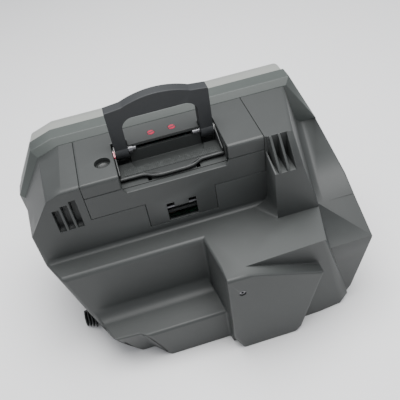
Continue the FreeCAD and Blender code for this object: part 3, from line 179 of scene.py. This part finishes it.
class Finish:
    """A procedural material on Object coordinates."""

    def __init__(self, name):
        self.material = bpy.data.materials.new(name)
        self.material.use_nodes = True
        self.tree = self.material.node_tree
        self.shader = self.tree.nodes["Principled BSDF"]
        self.coords = self.tree.nodes.new("ShaderNodeTexCoord").outputs["Object"]

    def node(self, kind, settings=None, inputs=None, output=0):
        """New node with its settings, then its inputs; returns one output as a Value."""
        made = self.tree.nodes.new(kind)
        for name, setting in (settings or {}).items():
            setattr(made, name, setting)
        for name, item in (inputs or {}).items():
            self.feed(made.inputs[name], item)
        return Value(self, made.outputs[output])

    def feed(self, socket, item):
        if isinstance(item, Value):
            self.tree.links.new(item.socket, socket)
        elif isinstance(item, bpy.types.NodeSocket):
            self.tree.links.new(item, socket)
        elif isinstance(item, (tuple, list)) and len(item) == 3 and len(socket.default_value) == 4:
            socket.default_value = (*item, 1)
        else:
            socket.default_value = item

    def noise(self, scale, detail=3, rough=0.55, stretch=None):
        coords = self.coords
        if stretch:
            coords = self.node("ShaderNodeMapping", None, {"Vector": coords, "Scale": stretch})
        return self.node("ShaderNodeTexNoise", None, {
            "Vector": coords, "Scale": scale, "Detail": detail, "Roughness": rough})

    def mix(self, factor, low, high):
        """Mix of two colours."""
        return self.node("ShaderNodeMix", {"data_type": "RGBA"}, {0: factor, 6: low, 7: high}, 2)

    def bump(self, height, strength, distance):
        bumped = self.node("ShaderNodeBump", None, {
            "Height": height, "Strength": strength, "Distance": distance})
        self.feed(self.shader.inputs["Normal"], bumped)

    def set(self, **inputs):
        for name, item in inputs.items():
            self.feed(self.shader.inputs[LABELS.get(name, name.replace("_", " ").title())], item)


def tone(colour, factor):
    return tuple(min(1.0, channel * factor) for channel in colour)


def moulded(name, colour, roughness=0.5, grain=1500, depth=0.00006, edge_highlight_strength=0.35):
    """Moulded plastic: spark-eroded grain, faint clouding, and convex edges painted paler as a painted
    highlight and made less rough.
    """
    finish = Finish(name)
    clouds = finish.noise(9, 4, 0.6)
    specks = finish.noise(grain, 2, 0.6)
    dust = finish.noise(70, 5, 0.7).band(0.5, 0.78)
    edges = Value(finish, finish.tree.nodes.new("ShaderNodeNewGeometry").outputs["Pointiness"])
    # Painted highlight: convex edges, found by pointiness, are painted paler where light catches the
    # rounds, and their roughness is lowered.
    painted_edge_highlight = edges.band(0.52, 0.62) * edge_highlight_strength
    base = finish.mix(clouds, tone(colour, 0.9), tone(colour, 1.12))
    base = finish.mix(dust * 0.22, base, tone(colour, 1.5))
    base = finish.mix(painted_edge_highlight, base, tone(colour, 2.0))
    base = finish.mix(specks.band(0.35, 0.75) * 0.25, base, tone(colour, 0.72))
    finish.set(base_color=base, specular_ior_level=0.42)
    finish.set(roughness=clouds * 0.12 + (roughness - 0.06) - painted_edge_highlight * 0.1)
    finish.bump(specks + finish.noise(grain / 3, 2, 0.5) * 0.6, 0.35, depth)
    return finish.material


def painted(name, colour):
    """Satin metallic paint over plastic."""
    finish = Finish(name)
    flakes = finish.noise(2600, 1, 0.5)
    clouds = finish.noise(6, 3, 0.5)
    base = finish.mix(clouds, tone(colour, 0.94), tone(colour, 1.06))
    base = finish.mix(flakes.band(0.5, 0.75) * 0.25, base, tone(colour, 1.3))
    finish.set(base_color=base, metallic=0.35, coat_weight=0.2, coat_roughness=0.25)
    finish.set(roughness=clouds * 0.1 + 0.34)
    finish.bump(flakes + finish.noise(180, 2, 0.5) * 0.5, 0.18, 0.00004)
    return finish.material


def metal(name, colour, roughness=0.28, stretch=(8, 900, 900), depth=0.00003):
    """Drawn or turned metal with fine lines along one axis."""
    finish = Finish(name)
    lines = finish.noise(1, 4, 0.7, stretch)
    stains = finish.noise(140, 4, 0.6)
    base = finish.mix(stains, tone(colour, 0.82), tone(colour, 1.08))
    base = finish.mix(lines.band(0.4, 0.7) * 0.4, base, tone(colour, 0.7))
    finish.set(base_color=base, metallic=1.0)
    finish.set(roughness=lines * 0.18 + (roughness - 0.09))
    finish.bump(lines, 0.3, depth)
    return finish.material


def soft_rubber(name, colour):
    """Matt rubber with a dusty bloom."""
    finish = Finish(name)
    bloom = finish.noise(260, 4, 0.65)
    base = finish.mix(bloom.band(0.45, 0.8), colour, tone(colour, 1.7))
    finish.set(base_color=base, specular_ior_level=0.3, roughness=bloom * 0.15 + 0.62)
    finish.bump(bloom, 0.3, 0.0001)
    return finish.material


def tinted_lens(name, colour):
    """Glossy tinted plastic with a faint inner pattern."""
    finish = Finish(name)
    cells = finish.node("ShaderNodeTexVoronoi", None, {"Vector": finish.coords, "Scale": 1400.0})
    base = finish.mix(cells.band(0.1, 0.7) * 0.5, colour, tone(colour, 0.55))
    finish.set(base_color=base, roughness=0.22, coat_weight=0.5, coat_roughness=0.06)
    finish.bump(cells, 0.15, 0.00005)
    return finish.material


def woven(name, colour, scale=900):
    """Open foam, film or sleeve: small cells over a base colour."""
    finish = Finish(name)
    cells = finish.node("ShaderNodeTexVoronoi", None, {"Vector": finish.coords, "Scale": float(scale)})
    base = finish.mix(cells.band(0.05, 0.6), tone(colour, 0.6), tone(colour, 1.1))
    finish.set(base_color=base, roughness=cells * 0.2 + 0.5)
    finish.bump(cells, 0.4, 0.0002)
    return finish.material


def circuit(name, colour):
    """Solder mask over copper tracks."""
    finish = Finish(name)
    settings = {"distance": "CHEBYCHEV"}
    tracks = finish.node("ShaderNodeTexVoronoi", settings, {"Vector": finish.coords, "Scale": 160.0})
    grain = finish.noise(1200, 2, 0.5)
    base = finish.mix(tracks.band(0.42, 0.46), colour, tone(colour, 2.2))
    base = finish.mix(grain * 0.2, base, tone(colour, 0.6))
    finish.set(base_color=base, roughness=grain * 0.1 + 0.3, coat_weight=0.4)
    finish.bump(tracks.band(0.42, 0.46) + grain * 0.1, 0.3, 0.00006)
    return finish.material


FINISHES = {}


def make_finishes():
    """One material for each of the record's slots."""
    colours = bpy.context.scene.pack_colours
    shell, mark = tuple(colours.shell), tuple(colours.mark)
    FINISHES.update({
        "shell_plastic": moulded("shell_plastic", shell, 0.5),
        "housing_plastic": moulded("housing_plastic", shell, 0.46),
        "rim_plastic": moulded("rim_plastic", tuple(colours.rim), 0.48, edge_highlight_strength=0.25),
        "silver_cover": painted("silver_cover", tuple(colours.cover)),
        "handle_plastic": moulded("handle_plastic", tuple(colours.handle), 0.55, 2200, edge_highlight_strength=0.3),
        "lever_plastic": moulded("lever_plastic", tone(shell, 0.8), 0.4, 1800, edge_highlight_strength=0.3),
        "tread_rubber": soft_rubber("tread_rubber", (0.034, 0.037, 0.036)),
        "flag_red": tinted_lens("flag_red", mark),
        "lens_red": tinted_lens("lens_red", mark),
        "steel": metal("steel", (0.24, 0.24, 0.25), 0.36),
        "screw_steel": metal("screw_steel", (0.2, 0.2, 0.21), 0.4, (300, 300, 300)),
        "button_plastic": moulded("button_plastic", tone(shell, 0.55), 0.42, 2400),
        "seal_rubber": soft_rubber("seal_rubber", (0.02, 0.02, 0.02)),
        "board_green": circuit("board_green", (0.01, 0.10, 0.045)),
        "cell_sleeve": woven("cell_sleeve", (0.05, 0.28, 0.24), 500),
        "holder_plastic": moulded("holder_plastic", (0.03, 0.03, 0.03), 0.5),
        "nickel": metal("nickel", (0.6, 0.57, 0.5), 0.3, (300, 300, 20)),
        "heatsink_aluminium": metal("heatsink_aluminium", (0.7, 0.7, 0.71), 0.42, (600, 600, 600)),
        "chip_plastic": moulded("chip_plastic", (0.02, 0.02, 0.02), 0.4, 3000),
        "fuse_plastic": tinted_lens("fuse_plastic", (0.5, 0.24, 0.02)),
        "socket_plastic": moulded("socket_plastic", (0.02, 0.02, 0.021), 0.45, 2400),
        "contact_copper": metal("contact_copper", (0.78, 0.47, 0.22), 0.25, (400, 400, 30)),
        "cable_red": soft_rubber("cable_red", (0.4, 0.015, 0.015)),
        "cable_black": soft_rubber("cable_black", (0.015, 0.015, 0.015)),
        "nylon_white": moulded("nylon_white", (0.55, 0.55, 0.51), 0.4, 1200),
        "foam_grey": woven("foam_grey", (0.09, 0.09, 0.1), 900),
        "ribbon_plastic": tinted_lens("ribbon_plastic", (0.42, 0.18, 0.03)),
    })


def slot_of(node):
    for part in frame["record"]["subparts"]:
        if part["node"] == node:
            return part["material_slot"]
    raise RuntimeError(f"{node} has no material slot")


def dress(piece, slot):
    piece.data.materials.clear()
    piece.data.materials.append(FINISHES[slot])


# ------------------------------------------------------------------ mesh helpers
def new_piece(name, bm, body, slot, smooth=True):
    """Object at the origin from a bmesh, with its finish, riding on a body."""
    for face in bm.faces:
        face.smooth = smooth
    mesh = bpy.data.meshes.new(name)
    bm.to_mesh(mesh)
    bm.free()
    piece = bpy.data.objects.new(name, mesh)
    bpy.context.scene.collection.objects.link(piece)
    dress(piece, slot)
    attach(piece, body)
    return piece


def merged_copy(node):
    """The node's mesh as one surface with its flat faces joined."""
    bm = bmesh.new()
    bm.from_mesh(NODES[node].data)
    bmesh.ops.remove_doubles(bm, verts=bm.verts, dist=0.01 * MM)
    bmesh.ops.dissolve_degenerate(bm, edges=bm.edges, dist=0.01 * MM)
    bmesh.ops.dissolve_limit(bm, angle_limit=math.radians(0.6), verts=bm.verts, edges=bm.edges)
    return bm


def casing_tree():
    """Search tree over the closed casing, to tell outer edges from inner ones."""
    whole = bmesh.new()
    for node in ("front_shell", "handle_housing", "latch_panel", "rim_frame", "rear_cover"):
        whole.from_mesh(NODES[node].data)
    tree = BVHTree.FromBMesh(whole)
    whole.free()
    return tree


# Every direction from the centre of a cube to its corners, edges and faces.
LOOKS = [
    Vector((x, y, z)).normalized()
    for x in (-1, 0, 1) for y in (-1, 0, 1) for z in (-1, 0, 1) if (x, y, z) != (0, 0, 0)
]
# How far off an edge the looks start, and how many have to reach open air.
LOOK_LIFT, LEAST_OPEN = 0.4 * MM, 3


def is_outside(tree, edge):
    """True when open air can be seen from just off an edge."""
    normal = sum((face.normal for face in edge.link_faces), Vector()).normalized()
    point = (edge.verts[0].co + edge.verts[1].co) / 2 + normal * LOOK_LIFT
    seen = sum(tree.ray_cast(point, look)[0] is None for look in LOOKS)
    return seen >= LEAST_OPEN


def room_for(edge):
    """Widest round that the edges meeting this one leave room for, in metres."""
    along = (edge.verts[1].co - edge.verts[0].co).normalized()
    room = 1.0
    for face in edge.link_faces:
        for side in face.edges:
            if side is edge or not set(side.verts) & set(edge.verts):
                continue
            reach = side.verts[1].co - side.verts[0].co
            if abs(reach.normalized().dot(along)) < 0.9:
                room = min(room, 0.48 * reach.length)
        for side in face.edges:
            if set(side.verts) & set(edge.verts):
                continue
            start, end = side.verts[0].co, side.verts[1].co
            for share in (0.02, 0.25, 0.5, 0.75, 0.98):
                point = edge.verts[0].co.lerp(edge.verts[1].co, share)
                at = intersect_point_line(point, start, end)[1]
                nearest = start.lerp(end, min(max(at, 0), 1))
                room = min(room, 0.45 * (point - nearest).length)
    return room


def softened(node, body, width_of, segments=4, tree=None, sharp=24):
    """Copy of a node with rounded edges.

    width_of(middle, reach, convex) gives an edge's round in millimetres, and 0 leaves it as it is. With a
    tree, only the edges that open air reaches are rounded. Edges under sharp degrees stay unrounded.
    """
    bm = merged_copy(node)
    weight = bm.edges.layers.float.new("bevel_weight_edge")
    widths = {}
    for edge in bm.edges:
        if len(edge.link_faces) != 2 or edge.calc_face_angle(0) < math.radians(sharp):
            continue
        if tree and not is_outside(tree, edge):
            edge.smooth = False
            continue
        ends = edge.verts[0].co / MM, edge.verts[1].co / MM
        width = width_of((ends[0] + ends[1]) / 2, ends[1] - ends[0], edge.is_convex)
        edge.smooth = width > 0 or edge.calc_face_angle(0) < math.radians(45)
        if width > 0:
            widths[edge] = min(width, room_for(edge) / MM)
    widest = max(widths.values())
    for edge, width in widths.items():
        edge[weight] = width / widest
        edge.smooth = True
    piece = new_piece(node + "_skin", bm, body, slot_of(node))
    rounds = piece.modifiers.new("rounds", "BEVEL")
    rounds.limit_method = "WEIGHT"
    rounds.width = widest * MM
    rounds.segments = segments
    rounds.use_clamp_overlap = False
    normals = piece.modifiers.new("normals", "WEIGHTED_NORMAL")
    normals.keep_sharp = True
    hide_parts(node)
    return piece


def near(value, target, slack=0.6):
    return abs(value - target) < slack


# ------------------------------------------------------------------ casing
COMB_TALL, COMB_FRONT, COMB_BACK, COMB_WIDE = 60, 36, 12, 28
SMOOTH_REACH = 90
CROWDED_LEFT, CROWDED_LOW, CROWDED_DEEP = 97, 60, 8
NOSE_RIGHT = 5
FOOT_LEFT, FOOT_DEEP, FOOT_TALL = 90, 90, 60


def in_mm(shape):
    """The edge rounds in millimetres, by name."""
    return {name: getattr(shape, name) / MM for name in shape.__annotations__}


def shell_width(rounds):
    """Rule for the edge rounds of the front shell."""
    def width(middle, reach, convex):
        x, y, z = middle
        level = abs(reach.z) < 0.5
        upright = abs(reach.z) > 0.8 * reach.length
        inward = abs(reach.y) > 0.9 * reach.length
        beside_room = SEAM_LEFT - 0.2 < x < SEAM_RIGHT + 0.2
        in_room = beside_room and z > PANEL_LOW.z - 1 and y > PANEL - 1
        if in_room or near(y, SHELL_HIGH.y):
            return rounds["seam"]
        if near(y, PANEL) and near(z, LEDGE) and not convex:
            return rounds["cove"]
        if near(y, LEDGE_FRONT) and near(z, SHELF) and not convex:
            return rounds["shelf_cove"]
        if near(y, LEDGE_FRONT) and near(z, LEDGE) and convex and x < NOSE_RIGHT:
            return 6
        if level and near(z, TOP) and near(y, PANEL, 3) and convex:
            return rounds["brow"]
        # The shoulder's facets are left to smooth shading.
        if inward and x < SHELL_LOW.x + SMOOTH_REACH and z > LEDGE - 2 and convex:
            return 0
        if near(z, 0):
            return 1.5
        on_comb = SEAM_RIGHT - 1 < x < SEAM_RIGHT + COMB_WIDE or x < SEAM_LEFT - 8
        if on_comb and z > TOP - COMB_TALL and PANEL - COMB_FRONT < y < PANEL + COMB_BACK:
            return 0.9 if convex else 0.6
        # Ledge, ridge and foot meet here with too little room between them for rounds.
        if x > CROWDED_LEFT and y < LEDGE_FRONT + CROWDED_DEEP and z > CROWDED_LOW:
            return 0
        beside_foot = x > FOOT_LEFT and y < PANEL + FOOT_DEEP and z < LEDGE + FOOT_TALL
        if not convex and beside_foot and reach.length > 30:
            return rounds["foot_cove"] if abs(reach.y) > 0.5 * reach.length else 6
        if near(y, SHELL_LOW.y) and convex:
            return 4
        if not convex:
            return 3 if upright else rounds["edge"]
        return 4 if reach.length > 25 else rounds["edge"]

    return width


class PACK_OT_casing(bpy.types.Operator):
    """Front shell, handle housing, latch panel, rim frame and rear cover with rounded edges"""
    bl_idname = "pack.casing"
    bl_label = "Casing"

    def execute(self, context):
        rounds = in_mm(context.scene.pack_shape)
        tree = casing_tree()
        softened("front_shell", "case", shell_width(rounds), tree=tree, segments=5)

        def housing_width(middle, reach, convex):
            x, y, z = middle
            if near(z, TOP) and near(y, PANEL) and convex:
                return rounds["brow"]
            if near(y, PANEL) and (near(x, BAY_LEFT) or near(x, BAY_RIGHT)):
                return 3.5
            if convex and near(z, TOP) and HOUSING_LOW.x + 2 < x < HOUSING_HIGH.x - 2 and y < 60:
                return 1.2
            return rounds["seam"]

        softened("handle_housing", "case", housing_width, tree=tree)

        def panel_width(middle, reach, convex):
            on_lip = middle.z > PANEL_HIGH.z - 9 and convex
            return 1.2 if on_lip else rounds["seam"]

        softened("latch_panel", "case", panel_width, tree=tree)

        def rim_width(middle, reach, convex):
            inward = abs(reach.y) > 0.9 * reach.length
            return 0 if inward else 1.2 if middle.y > RIM_BACK - 1 else 0.8

        softened("rim_frame", "case", rim_width, tree=tree, sharp=20)
        softened("rear_cover", "case", lambda middle, reach, convex: 0.6, tree=tree, sharp=40)
        return {"FINISHED"}


# ------------------------------------------------------------------ handle and lever
class PACK_OT_handle(bpy.types.Operator):
    """Carry handle with rounded arms and grip"""
    bl_idname = "pack.handle"
    bl_label = "Carry handle"

    def execute(self, context):
        def width(middle, reach, convex):
            return 1.2 if convex else 0.8

        softened("carry_handle", "handle", width, sharp=50, segments=3)
        return {"FINISHED"}


def tube(name, points, radius, body, slot):
    """Round bar along a smooth curve through control points in millimetres."""
    curve = bpy.data.curves.new(name, "CURVE")
    curve.dimensions = "3D"
    curve.bevel_depth = radius * MM
    curve.bevel_resolution = 6
    curve.use_fill_caps = True
    spline = curve.splines.new("NURBS")
    spline.points.add(len(points) - 1)
    for point, place in zip(spline.points, points):
        point.co = (*(Vector(place) * MM), 1)
    spline.order_u = 3
    spline.use_endpoint_u = True
    spline.resolution_u = 8
    carrier = bpy.data.objects.new(name + "_curve", curve)
    mesh = bpy.data.meshes.new_from_object(carrier)
    bpy.data.objects.remove(carrier)
    bm = bmesh.new()
    bm.from_mesh(mesh)
    return new_piece(name, bm, body, slot)


LIP_SET_BACK, LIP_RADIUS = 9, 1.8
TREAD_HALF, TREAD_START, TREAD_END, MAT_THICK = 56, 1.5, 13, 0.5
RIDGE_PITCH, RIDGE_TALL, RIDGE_RISE, RIDGE_SHORT, RIDGE_ROUND = 2.2, 0.6, 0.2, 0.6, 0.18


class PACK_OT_lever(bpy.types.Operator):
    """Release lever with its waved lip and knurled tread"""
    bl_idname = "pack.lever"
    bl_label = "Release lever"

    def execute(self, context):
        softened("release_lever", "lever", lambda middle, reach, convex: 0.5, sharp=30, segments=2)
        plate = TREAD_LOW.z
        side = LEVER_LOW.y + LIP_SET_BACK
        self.lip(plate, side)
        self.tread(plate, side)
        return {"FINISHED"}

    def lip(self, plate, side):
        """Round lip: straight at the sides, bulging forward in the middle."""
        front = LEVER_LOW.y
        wave = [
            (-61.5, side, -0.2), (-44, side, 0), (-33, side - 0.5, 0), (-25, front + 3, 0),
            (-17, front + 0.8, 0), (-8, front + 0.6, 0), (8, front + 0.6, 0), (18, front + 0.8, 0),
            (26, front + 3, 0), (33, side - 0.5, 0), (44, side, 0), (61.5, side, -0.2),
        ]
        points = [(BAY_MIDDLE + x, y, plate - LIP_RADIUS + rise) for x, y, rise in wave]
        tube("lever_lip", points, LIP_RADIUS, "lever", "lever_plastic")

    def tread(self, plate, side):
        """Knurled strip behind the lip: a thin mat with rows of small ridges."""
        bm = bmesh.new()
        low_y, high_y = side + TREAD_START, side + TREAD_END
        across_y = (low_y + high_y) / 2
        mat = (2 * TREAD_HALF, high_y - low_y, MAT_THICK)
        self.bar(bm, mat, (BAY_MIDDLE, across_y, plate + MAT_THICK / 2))
        ridge = (RIDGE_PITCH / 2, high_y - low_y - RIDGE_SHORT, RIDGE_TALL)
        for i in range(int(2 * TREAD_HALF / RIDGE_PITCH)):
            x = BAY_MIDDLE - TREAD_HALF + RIDGE_PITCH * (i + 0.5)
            self.bar(bm, ridge, (x, across_y, plate + MAT_THICK + RIDGE_RISE))
        bmesh.ops.bevel(
            bm, geom=bm.edges, offset=RIDGE_ROUND, segments=2, profile=0.5, affect="EDGES", material=-1)
        bmesh.ops.scale(bm, verts=bm.verts, vec=(MM, MM, MM))
        piece = new_piece("lever_tread_ribs", bm, "lever", "tread_rubber")
        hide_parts("lever_tread")

    def bar(self, bm, lengths, centre):
        """Box of the given lengths about its centre."""
        made = bmesh.ops.create_cube(bm, size=1)["verts"]
        bmesh.ops.scale(bm, verts=made, vec=lengths)
        bmesh.ops.translate(bm, verts=made, vec=centre)


# ------------------------------------------------------------------ small parts
LENS_DEEP, LENS_BEVEL, LENS_SINK = 1.0, 0.4, 0.42
BAR_INSET, BAR_WIDE, BAR_THICK, BAR_RISE, BAR_TURN = 0.6, 1.5, 0.3, 0.1, 14


class PACK_OT_details(bpy.types.Operator):
    """Status lenses, power button, striker bar, latch slider, pivot pins and key screw"""
    bl_idname = "pack.details"
    bl_label = "Small parts"

    def execute(self, context):
        self.lenses()
        self.button()
        softened("striker_bar", "slider", lambda middle, reach, convex: 0.5, sharp=40)
        softened("latch_slider", "slider", lambda middle, reach, convex: 0.4, sharp=40, segments=2)
        softened("pivot_pins", "case", lambda middle, reach, convex: 0.3, sharp=40, segments=2)
        softened("key_screw", "case", lambda middle, reach, convex: 0.4, sharp=40)
        return {"FINISHED"}

    def lenses(self):
        """Bevelled lens caps, each crossed by a dark diagonal bar."""
        radius = (LENS_HIGH.y - LENS_LOW.y) / 2
        centre_y = (LENS_LOW.y + LENS_HIGH.y) / 2
        bm = bmesh.new()
        bars = bmesh.new()
        for x in (LENS_LOW.x + radius, LENS_HIGH.x - radius):
            made = bmesh.ops.create_cone(
                bm, cap_ends=True, segments=40, radius1=radius, radius2=radius - LENS_BEVEL,
                depth=LENS_DEEP)["verts"]
            bmesh.ops.translate(bm, verts=made, vec=(x, centre_y, TOP - LENS_SINK))
            bar = bmesh.ops.create_cube(bars, size=1)["verts"]
            bmesh.ops.scale(bars, verts=bar, vec=(2 * radius - BAR_INSET, BAR_WIDE, BAR_THICK))
            bmesh.ops.rotate(bars, verts=bar, matrix=Matrix.Rotation(math.radians(BAR_TURN), 3, "Z"))
            bmesh.ops.translate(bars, verts=bar, vec=(x, centre_y, TOP + BAR_RISE))
        for mesh in (bm, bars):
            bmesh.ops.scale(mesh, verts=mesh.verts, vec=(MM, MM, MM))
        piece = new_piece("status_lens_caps", bm, "case", "lens_red", smooth=False)
        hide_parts("status_lenses")
        new_piece("status_lens_bars", bars, "case", "housing_plastic", smooth=False)

    def button(self):
        """Dished button cap with a raised ring."""
        centre = (BUTTON_LOW + BUTTON_HIGH) / 2
        radius = (BUTTON_HIGH.x - BUTTON_LOW.x) / 2
        top = BUTTON_HIGH.z
        profile = [
            (0, top - 0.9), (radius * 0.45, top - 0.8), (radius * 0.72, top - 0.35), (radius * 0.8, top),
            (radius * 0.93, top), (radius, top - 0.6), (radius, top - 3), (radius - 4, top - 3),
            (radius - 4, BUTTON_LOW.z), (0, BUTTON_LOW.z),
        ]
        bm = bmesh.new()
        verts = [bm.verts.new(Vector((r, 0, z)) * MM) for r, z in profile]
        edges = [bm.edges.new(pair) for pair in zip(verts, verts[1:])]
        bmesh.ops.spin(bm, geom=verts + edges, cent=(0, 0, 0), axis=(0, 0, 1), angle=2 * math.pi,
                       steps=48, use_merge=True)
        bmesh.ops.remove_doubles(bm, verts=bm.verts, dist=0.01 * MM)
        bmesh.ops.recalc_face_normals(bm, faces=bm.faces)
        bmesh.ops.translate(bm, verts=bm.verts, vec=(centre.x * MM, centre.y * MM, 0))
        piece = new_piece("power_button_cap", bm, "button", "button_plastic")
        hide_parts("power_button")


class PACK_OT_springs(bpy.types.Operator):
    """Slider springs and button spring, copied from their nodes"""
    bl_idname = "pack.springs"
    bl_label = "Springs"

    def execute(self, context):
        self.spring("slider_springs", "slider_lift", at_top=True)
        self.spring("button_spring", "button_press", at_top=False)
        return {"FINISHED"}

    def spring(self, node, joint, at_top):
        joints = frame["record"]["behaviour"]["joints"]
        travel = next(max(each["range_m"]) for each in joints if each["name"] == joint) / MM
        low, high = corners(node)
        length = high.z - low.z
        piece = new_piece(node + "_coils", merged_copy(node), "case", slot_of(node))
        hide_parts(node)
        (length - travel) / length
        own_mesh(piece)


# ------------------------------------------------------------------ finishes of the carried nodes
class PACK_OT_finishes(bpy.types.Operator):
    """Materials for every node that keeps its own shape"""
    bl_idname = "pack.finishes"
    bl_label = "Finishes"

    def execute(self, context):
        make_finishes()
        for node, piece in NODES.items():
            dress(piece, slot_of(node))
        return {"FINISHED"}


# ------------------------------------------------------------------ stage
CAMERA_PLACE = (-0.0528, -0.4825, 0.6070)
CAMERA_RIGHT = (0.9567, -0.2609, -0.1293)
CAMERA_BACK = (-0.1040, -0.7209, 0.6852)
FOCAL_MM, SENSOR_MM = 47.92, 36
FLOOR_HALF = 4


def area_light(name, place, aim, size, power, colour=(1, 1, 1)):
    data = bpy.data.lights.new(name, "AREA")
    data.shape = "RECTANGLE"
    data.size, data.size_y = size
    data.energy = power
    data.color = colour
    lamp = bpy.data.objects.new(name, data)
    lamp.location = place
    lamp.rotation_euler = (Vector(aim) - Vector(place)).to_track_quat("-Z", "Y").to_euler()
    bpy.context.scene.collection.objects.link(lamp)


class PACK_OT_stage(bpy.types.Operator):
    """Pale floor, soft light and the camera"""
    bl_idname = "pack.stage"
    bl_label = "Stage"

    def execute(self, context):
        self.floor()
        self.lights()
        self.camera(context)
        return {"FINISHED"}

    def floor(self):
        finish = Finish("pale_floor")
        clouds = finish.noise(1.2, 3, 0.5)
        finish.set(base_color=finish.mix(clouds, (0.80, 0.80, 0.80), (0.86, 0.86, 0.86)), roughness=0.8)
        FINISHES["pale_floor"] = finish.material
        bm = bmesh.new()
        bmesh.ops.create_grid(bm, x_segments=1, y_segments=1, size=FLOOR_HALF)
        mesh = bpy.data.meshes.new("floor")
        bm.to_mesh(mesh)
        bm.free()
        floor = bpy.data.objects.new("floor", mesh)
        floor.data.materials.append(finish.material)
        bpy.context.scene.collection.objects.link(floor)

    def lights(self):
        world = bpy.data.worlds.new("studio")
        world.use_nodes = True
        background = world.node_tree.nodes["Background"]
        background.inputs["Color"].default_value = (0.93, 0.95, 1.0, 1)
        background.inputs["Strength"].default_value = 0.55
        bpy.context.scene.world = world
        area_light("overhead", (0.1, 0.1, 1.6), (0, 0, 0.1), (1.6, 1.2), 56)
        area_light("front_fill", (-0.9, -1.2, 1.1), (0, 0, 0.1), (1.2, 1.0), 3)

    def camera(self, context):
        data = bpy.data.cameras.new("camera")
        data.lens = FOCAL_MM
        data.sensor_width = SENSOR_MM
        camera = bpy.data.objects.new("camera", data)
        right = Vector(CAMERA_RIGHT).normalized()
        back = Vector(CAMERA_BACK).normalized()
        up = back.cross(right).normalized()
        right = up.cross(back)
        turn = Matrix((right, up, back)).transposed()
        camera.matrix_world = Matrix.Translation(CAMERA_PLACE) @ turn.to_4x4()
        context.scene.collection.objects.link(camera)
        context.scene.camera = camera


class PACK_PT_panel(bpy.types.Panel):
    """Sidebar panel with the shape and colour settings and the operator buttons"""
    bl_idname = "PACK_PT_panel"
    bl_label = "Battery pack"
    bl_space_type = "VIEW_3D"
    bl_region_type = "UI"
    bl_category = "Pack"

    def draw(self, context):
        for group in (context.scene.pack_shape, context.scene.pack_colours):
            for name in group.__annotations__:
                self.layout.prop(group, name)
        for operator in OPERATORS:
            self.layout.operator(operator.bl_idname)


OPERATORS = (
    PACK_OT_finishes, PACK_OT_stage, PACK_OT_casing, PACK_OT_handle, PACK_OT_lever, PACK_OT_details,
    PACK_OT_springs,
)
CLASSES = (PackShape, PackColours, *OPERATORS, PACK_PT_panel)


def register():
    for each in CLASSES:
        bpy.utils.register_class(each)
    bpy.types.Scene.pack_shape = bpy.props.PointerProperty(type=PackShape)
    bpy.types.Scene.pack_colours = bpy.props.PointerProperty(type=PackColours)


def unregister():
    del bpy.types.Scene.pack_colours
    del bpy.types.Scene.pack_shape
    for each in reversed(CLASSES):
        bpy.utils.unregister_class(each)


def main():
    register()
    bpy.ops.pack.finishes()
    bpy.ops.pack.stage()
    bpy.ops.pack.casing()
    bpy.ops.pack.handle()
    bpy.ops.pack.lever()
    bpy.ops.pack.details()
    bpy.ops.pack.springs()


if __name__ == "__main__":
    main()
